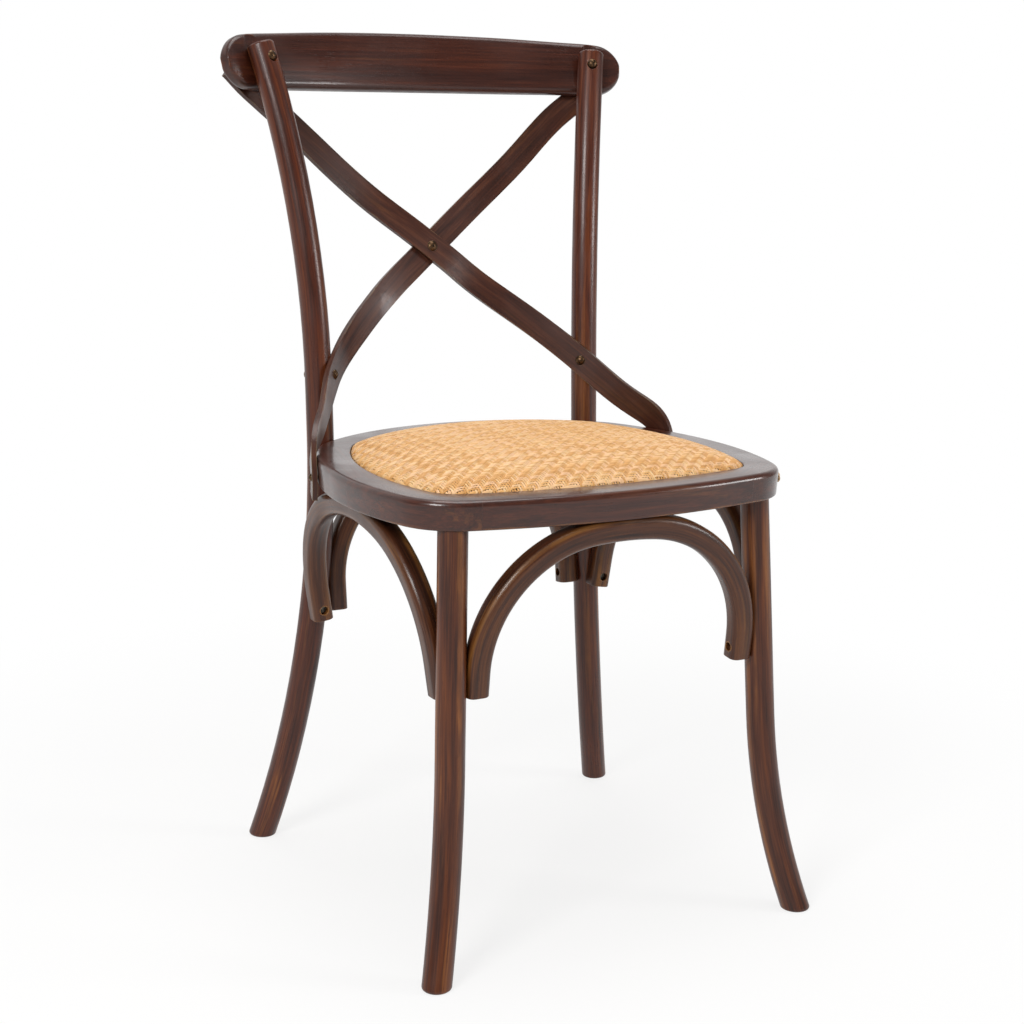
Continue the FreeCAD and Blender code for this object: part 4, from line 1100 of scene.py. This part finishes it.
    def strands(self, run: Run) -> bpy.types.Object:
        """Weaves all the strands of one direction.

        Args:
            run: Direction of the strands.

        Returns:
            The strands as one piece of many closed strips.
        """
        rng = np.random.default_rng(7 if run is Run.ALONG_X else 19)
        depths = self.outline(self.rim)[:, 1 if run is Run.ALONG_X else 0] / self.pitch
        rows = [self.sweep(run, row, rng) for row in range(math.floor(depths.min()), math.ceil(depths.max()))]
        rows = [row for row in rows if row is not None]
        faces, base = [], 0
        for points, _, _ in rows:
            end = base + len(points) - 4
            faces += [(a + j, a + 4 + j, a + 4 + (j + 1) % 4, a + (j + 1) % 4)
                      for a in range(base, end, 4) for j in range(4)]
            faces += [(base, base + 1, base + 2, base + 3), (end + 3, end + 2, end + 1, end)]
            base = end + 4
        points, tones, places = (np.concatenate(part) for part in zip(*rows))
        name = "cane_strands_across" if run is Run.ALONG_X else "cane_strands_front_to_back"
        mesh = bpy.data.meshes.new(name)
        mesh.from_pydata(to_frame(points).tolist(), [], faces)
        mark(mesh, "tone", tones)
        mark(mesh, "strand", places)
        piece = linked(name, mesh)
        face_outwards(piece)
        smooth(piece, 50.0)
        dress(piece, CaneFinish())
        book(piece, "rattan_cover")
        LOG.info("weave %s: %d faces", run.value, len(mesh.polygons))
        return piece

    def pad(self) -> bpy.types.Object:
        """Models the foam pad: a disc drawn to the outline, then extruded and drawn in by rings.

        Returns:
            The pad.
        """
        edge = self.outline(self.rim + self.pad_inset)
        bpy.ops.object.select_all(action="DESELECT")
        bpy.ops.mesh.primitive_circle_add(vertices=len(edge), radius=0.2, fill_type="NGON")
        pad = bpy.context.object
        pad.name = "seat_foam_pad"
        ring = to_frame(np.column_stack([edge, np.full(len(edge), self.pad_base_z)]))
        pad.data.vertices.foreach_set("co", ring.astype(np.float32).ravel())
        pad.data.update()
        centre = Vector(to_frame(np.array([0.0, self.middle_y, self.pad_base_z])))
        bpy.ops.object.mode_set(mode="EDIT")
        bpy.ops.mesh.select_all(action="SELECT")
        past_share, past_z = 1.0, self.pad_base_z
        for share, _ in self.shares[1:-1]:
            level = float(self.dome(np.array([share]))[0]) - self.pad_drop
            bpy.ops.mesh.extrude_region_move(
                TRANSFORM_OT_translate={"value": (0.0, 0.0, (level - past_z) * MM)})
            scale = share / past_share
            bpy.ops.transform.resize(value=(scale, scale, 1.0), center_override=centre)
            past_share, past_z = share, level
        bpy.ops.mesh.poke()
        bpy.ops.object.mode_set(mode="OBJECT")
        face_outwards(pad)
        soften = pad.modifiers.new("soften", "SUBSURF")
        soften.levels = soften.render_levels = 1
        bpy.ops.object.modifier_apply(modifier=soften.name)
        smooth(pad, 50.0)
        # The pad's dark colour is painted shade, seen through the pin gaps of the weave.
        dress(pad, PaintedGapShadePadFinish())
        book(pad, "seat_pad")
        LOG.info("pad: %d faces", len(pad.data.polygons))
        return pad

    def build(self) -> list[bpy.types.Object]:
        """Builds the panel from the board up, which keeps its modelled shape.

        Returns:
            The pieces.
        """
        board = frame["nodes"]["seat_board"]
        dress(board, PlyFinish())
        return [board, self.pad(), self.strands(Run.ALONG_X), self.strands(Run.ALONG_Y)]


@dataclass
class Fastenings:
    """Domed bolts and rivets, wood screws and dowels."""

    brass: tuple[str, ...] = ("crest_bolts", "centre_rivet", "strap_post_bolts", "seat_post_bolts",
                              "strap_end_screws", "strap_top_screws")
    steel: tuple[str, ...] = ("hoop_leg_screws", "hoop_seat_screws", "seat_panel_screws")
    dowels: tuple[str, ...] = ("seat_ring_dowels",)

    def build(self) -> list[bpy.types.Object]:
        """Dresses the fastenings, whose modelled shapes stay.

        Returns:
            The pieces.
        """
        made = []
        for finish, names in ((BRASS, self.brass), (STEEL, self.steel), (BEECH, self.dowels)):
            for name in names:
                made.append(frame["nodes"][name])
                dress(made[-1], finish)
        LOG.info("fastenings: %d nodes dressed", len(made))
        return made


@dataclass(frozen=True)
class Lamp:
    """A soft square lamp, with place and side in metres, power in watts and the point it faces."""

    name: str
    place: Triple
    side: float
    power: float
    aim: Triple = (0.0, 0.0, 0.45)

    def build(self) -> None:
        """Hangs the lamp."""
        data = bpy.data.lights.new(self.name, "AREA")
        data.size = self.side
        data.energy = self.power
        lamp = linked(self.name, data)
        lamp.location = self.place
        lamp.rotation_euler = (Vector(self.aim) - Vector(self.place)).to_track_quat("-Z", "Y").to_euler()


@dataclass
class Studio:
    """Pale floor, soft lamps, plain background and the camera of the photograph."""

    eye: Triple = (-934.1, -1699.9, 826.7)
    yaw: float = 28.47
    pitch: float = 12.59
    roll: float = 1.08
    focal_pixels: float = 1893.6
    frame_pixels: float = 1024.0
    sensor: float = 36.0
    floor_side: float = 60.0
    soft_light: float = 0.24
    lamps: tuple[Lamp, ...] = (Lamp("key_softbox", (-2.1, -1.4, 2.0), 0.9, 52.0),
                               Lamp("fill_softbox", (2.3, -1.7, 1.2), 0.8, 30.0),
                               Lamp("top_softbox", (0.1, 0.1, 2.8), 1.5, 34.0))

    def camera(self) -> None:
        """Places the camera at the photograph's angle."""
        yaw, pitch, roll = (math.radians(a) for a in (self.yaw, self.pitch, self.roll))
        ahead = np.array([math.sin(yaw) * math.cos(pitch), math.cos(yaw) * math.cos(pitch), -math.sin(pitch)])
        level = np.array([math.cos(yaw), -math.sin(yaw), 0.0])
        raised = np.cross(level, ahead)
        right = math.cos(roll) * level + math.sin(roll) * raised
        up = -math.sin(roll) * level + math.cos(roll) * raised
        data = bpy.data.cameras.new("photo_camera")
        data.sensor_width = self.sensor
        data.lens = self.sensor * self.focal_pixels / self.frame_pixels
        camera = linked("photo_camera", data)
        turn = Matrix((right, up, -ahead)).transposed()
        camera.matrix_world = Matrix.Translation(to_frame(np.array([self.eye]))[0]) @ turn.to_4x4()
        bpy.context.scene.camera = camera

    def floor(self) -> bpy.types.Object:
        """Lays the pale floor, which glows white to the eye away from the chair.

        Returns:
            The floor, which isn't part of the chair.
        """
        bpy.ops.object.select_all(action="DESELECT")
        bpy.ops.mesh.primitive_plane_add(size=self.floor_side)
        floor = bpy.context.object
        floor.name = "studio_floor"
        s = MaterialSketch("studio_floor")
        s.finish(Base_Color=shade("f4f3f1"), Roughness=0.9)
        seen = s.maths("MAXIMUM", s.ray("Camera"), s.maths("MAXIMUM", s.ray("Glossy"), s.ray("Transmission")))
        far = s.node("VectorMath", s.place(), output="Value", operation="LENGTH")
        share = s.times(seen, s.step(far, 0.3, 1.1, 0.8, 1.0))
        s.feed(s.out.inputs["Surface"], s.node("MixShader", share, s.body.outputs["BSDF"],
                                               s.light("Emission", 1.0)))
        floor.data.materials.append(s.material)
        return floor

    def world(self) -> None:
        """Sets a background that is white to the eye and lights the chair only softly."""
        world = bpy.data.worlds.new("studio_world")
        bpy.context.scene.world = world
        s = NodeSketch(world)
        depth = s.part(s.node("TexCoord", output="Generated"), "Y")
        mirrored = s.times(s.ray("Glossy"), s.step(depth, 0.1, 0.7, curve="LINEAR"))
        soft, white = (s.light("Background", strength) for strength in (self.soft_light, 1.0))
        shown = s.node("MixShader", s.maths("MAXIMUM", s.ray("Camera"), mirrored), soft, white)
        s.feed(s.tree.nodes.new("ShaderNodeOutputWorld").inputs["Surface"], shown)

    def build(self) -> None:
        """Sets up the studio."""
        bpy.context.scene.view_settings.view_transform = "Standard"
        self.camera()
        self.floor()
        self.world()
        for lamp in self.lamps:
            lamp.build()
        LOG.info("studio ready")


def main() -> None:
    """Builds the chair and the studio in order."""
    logging.basicConfig(level=logging.INFO)
    Studio().build()
    for assembly in (BackFrame(), SeatRing(), Underframe(), WovenPanel(), Fastenings()):
        pieces = assembly.build()
        LOG.info("%s: %s", type(assembly).__name__, ", ".join(p.name for p in pieces))


if __name__ == "__main__":
    main()
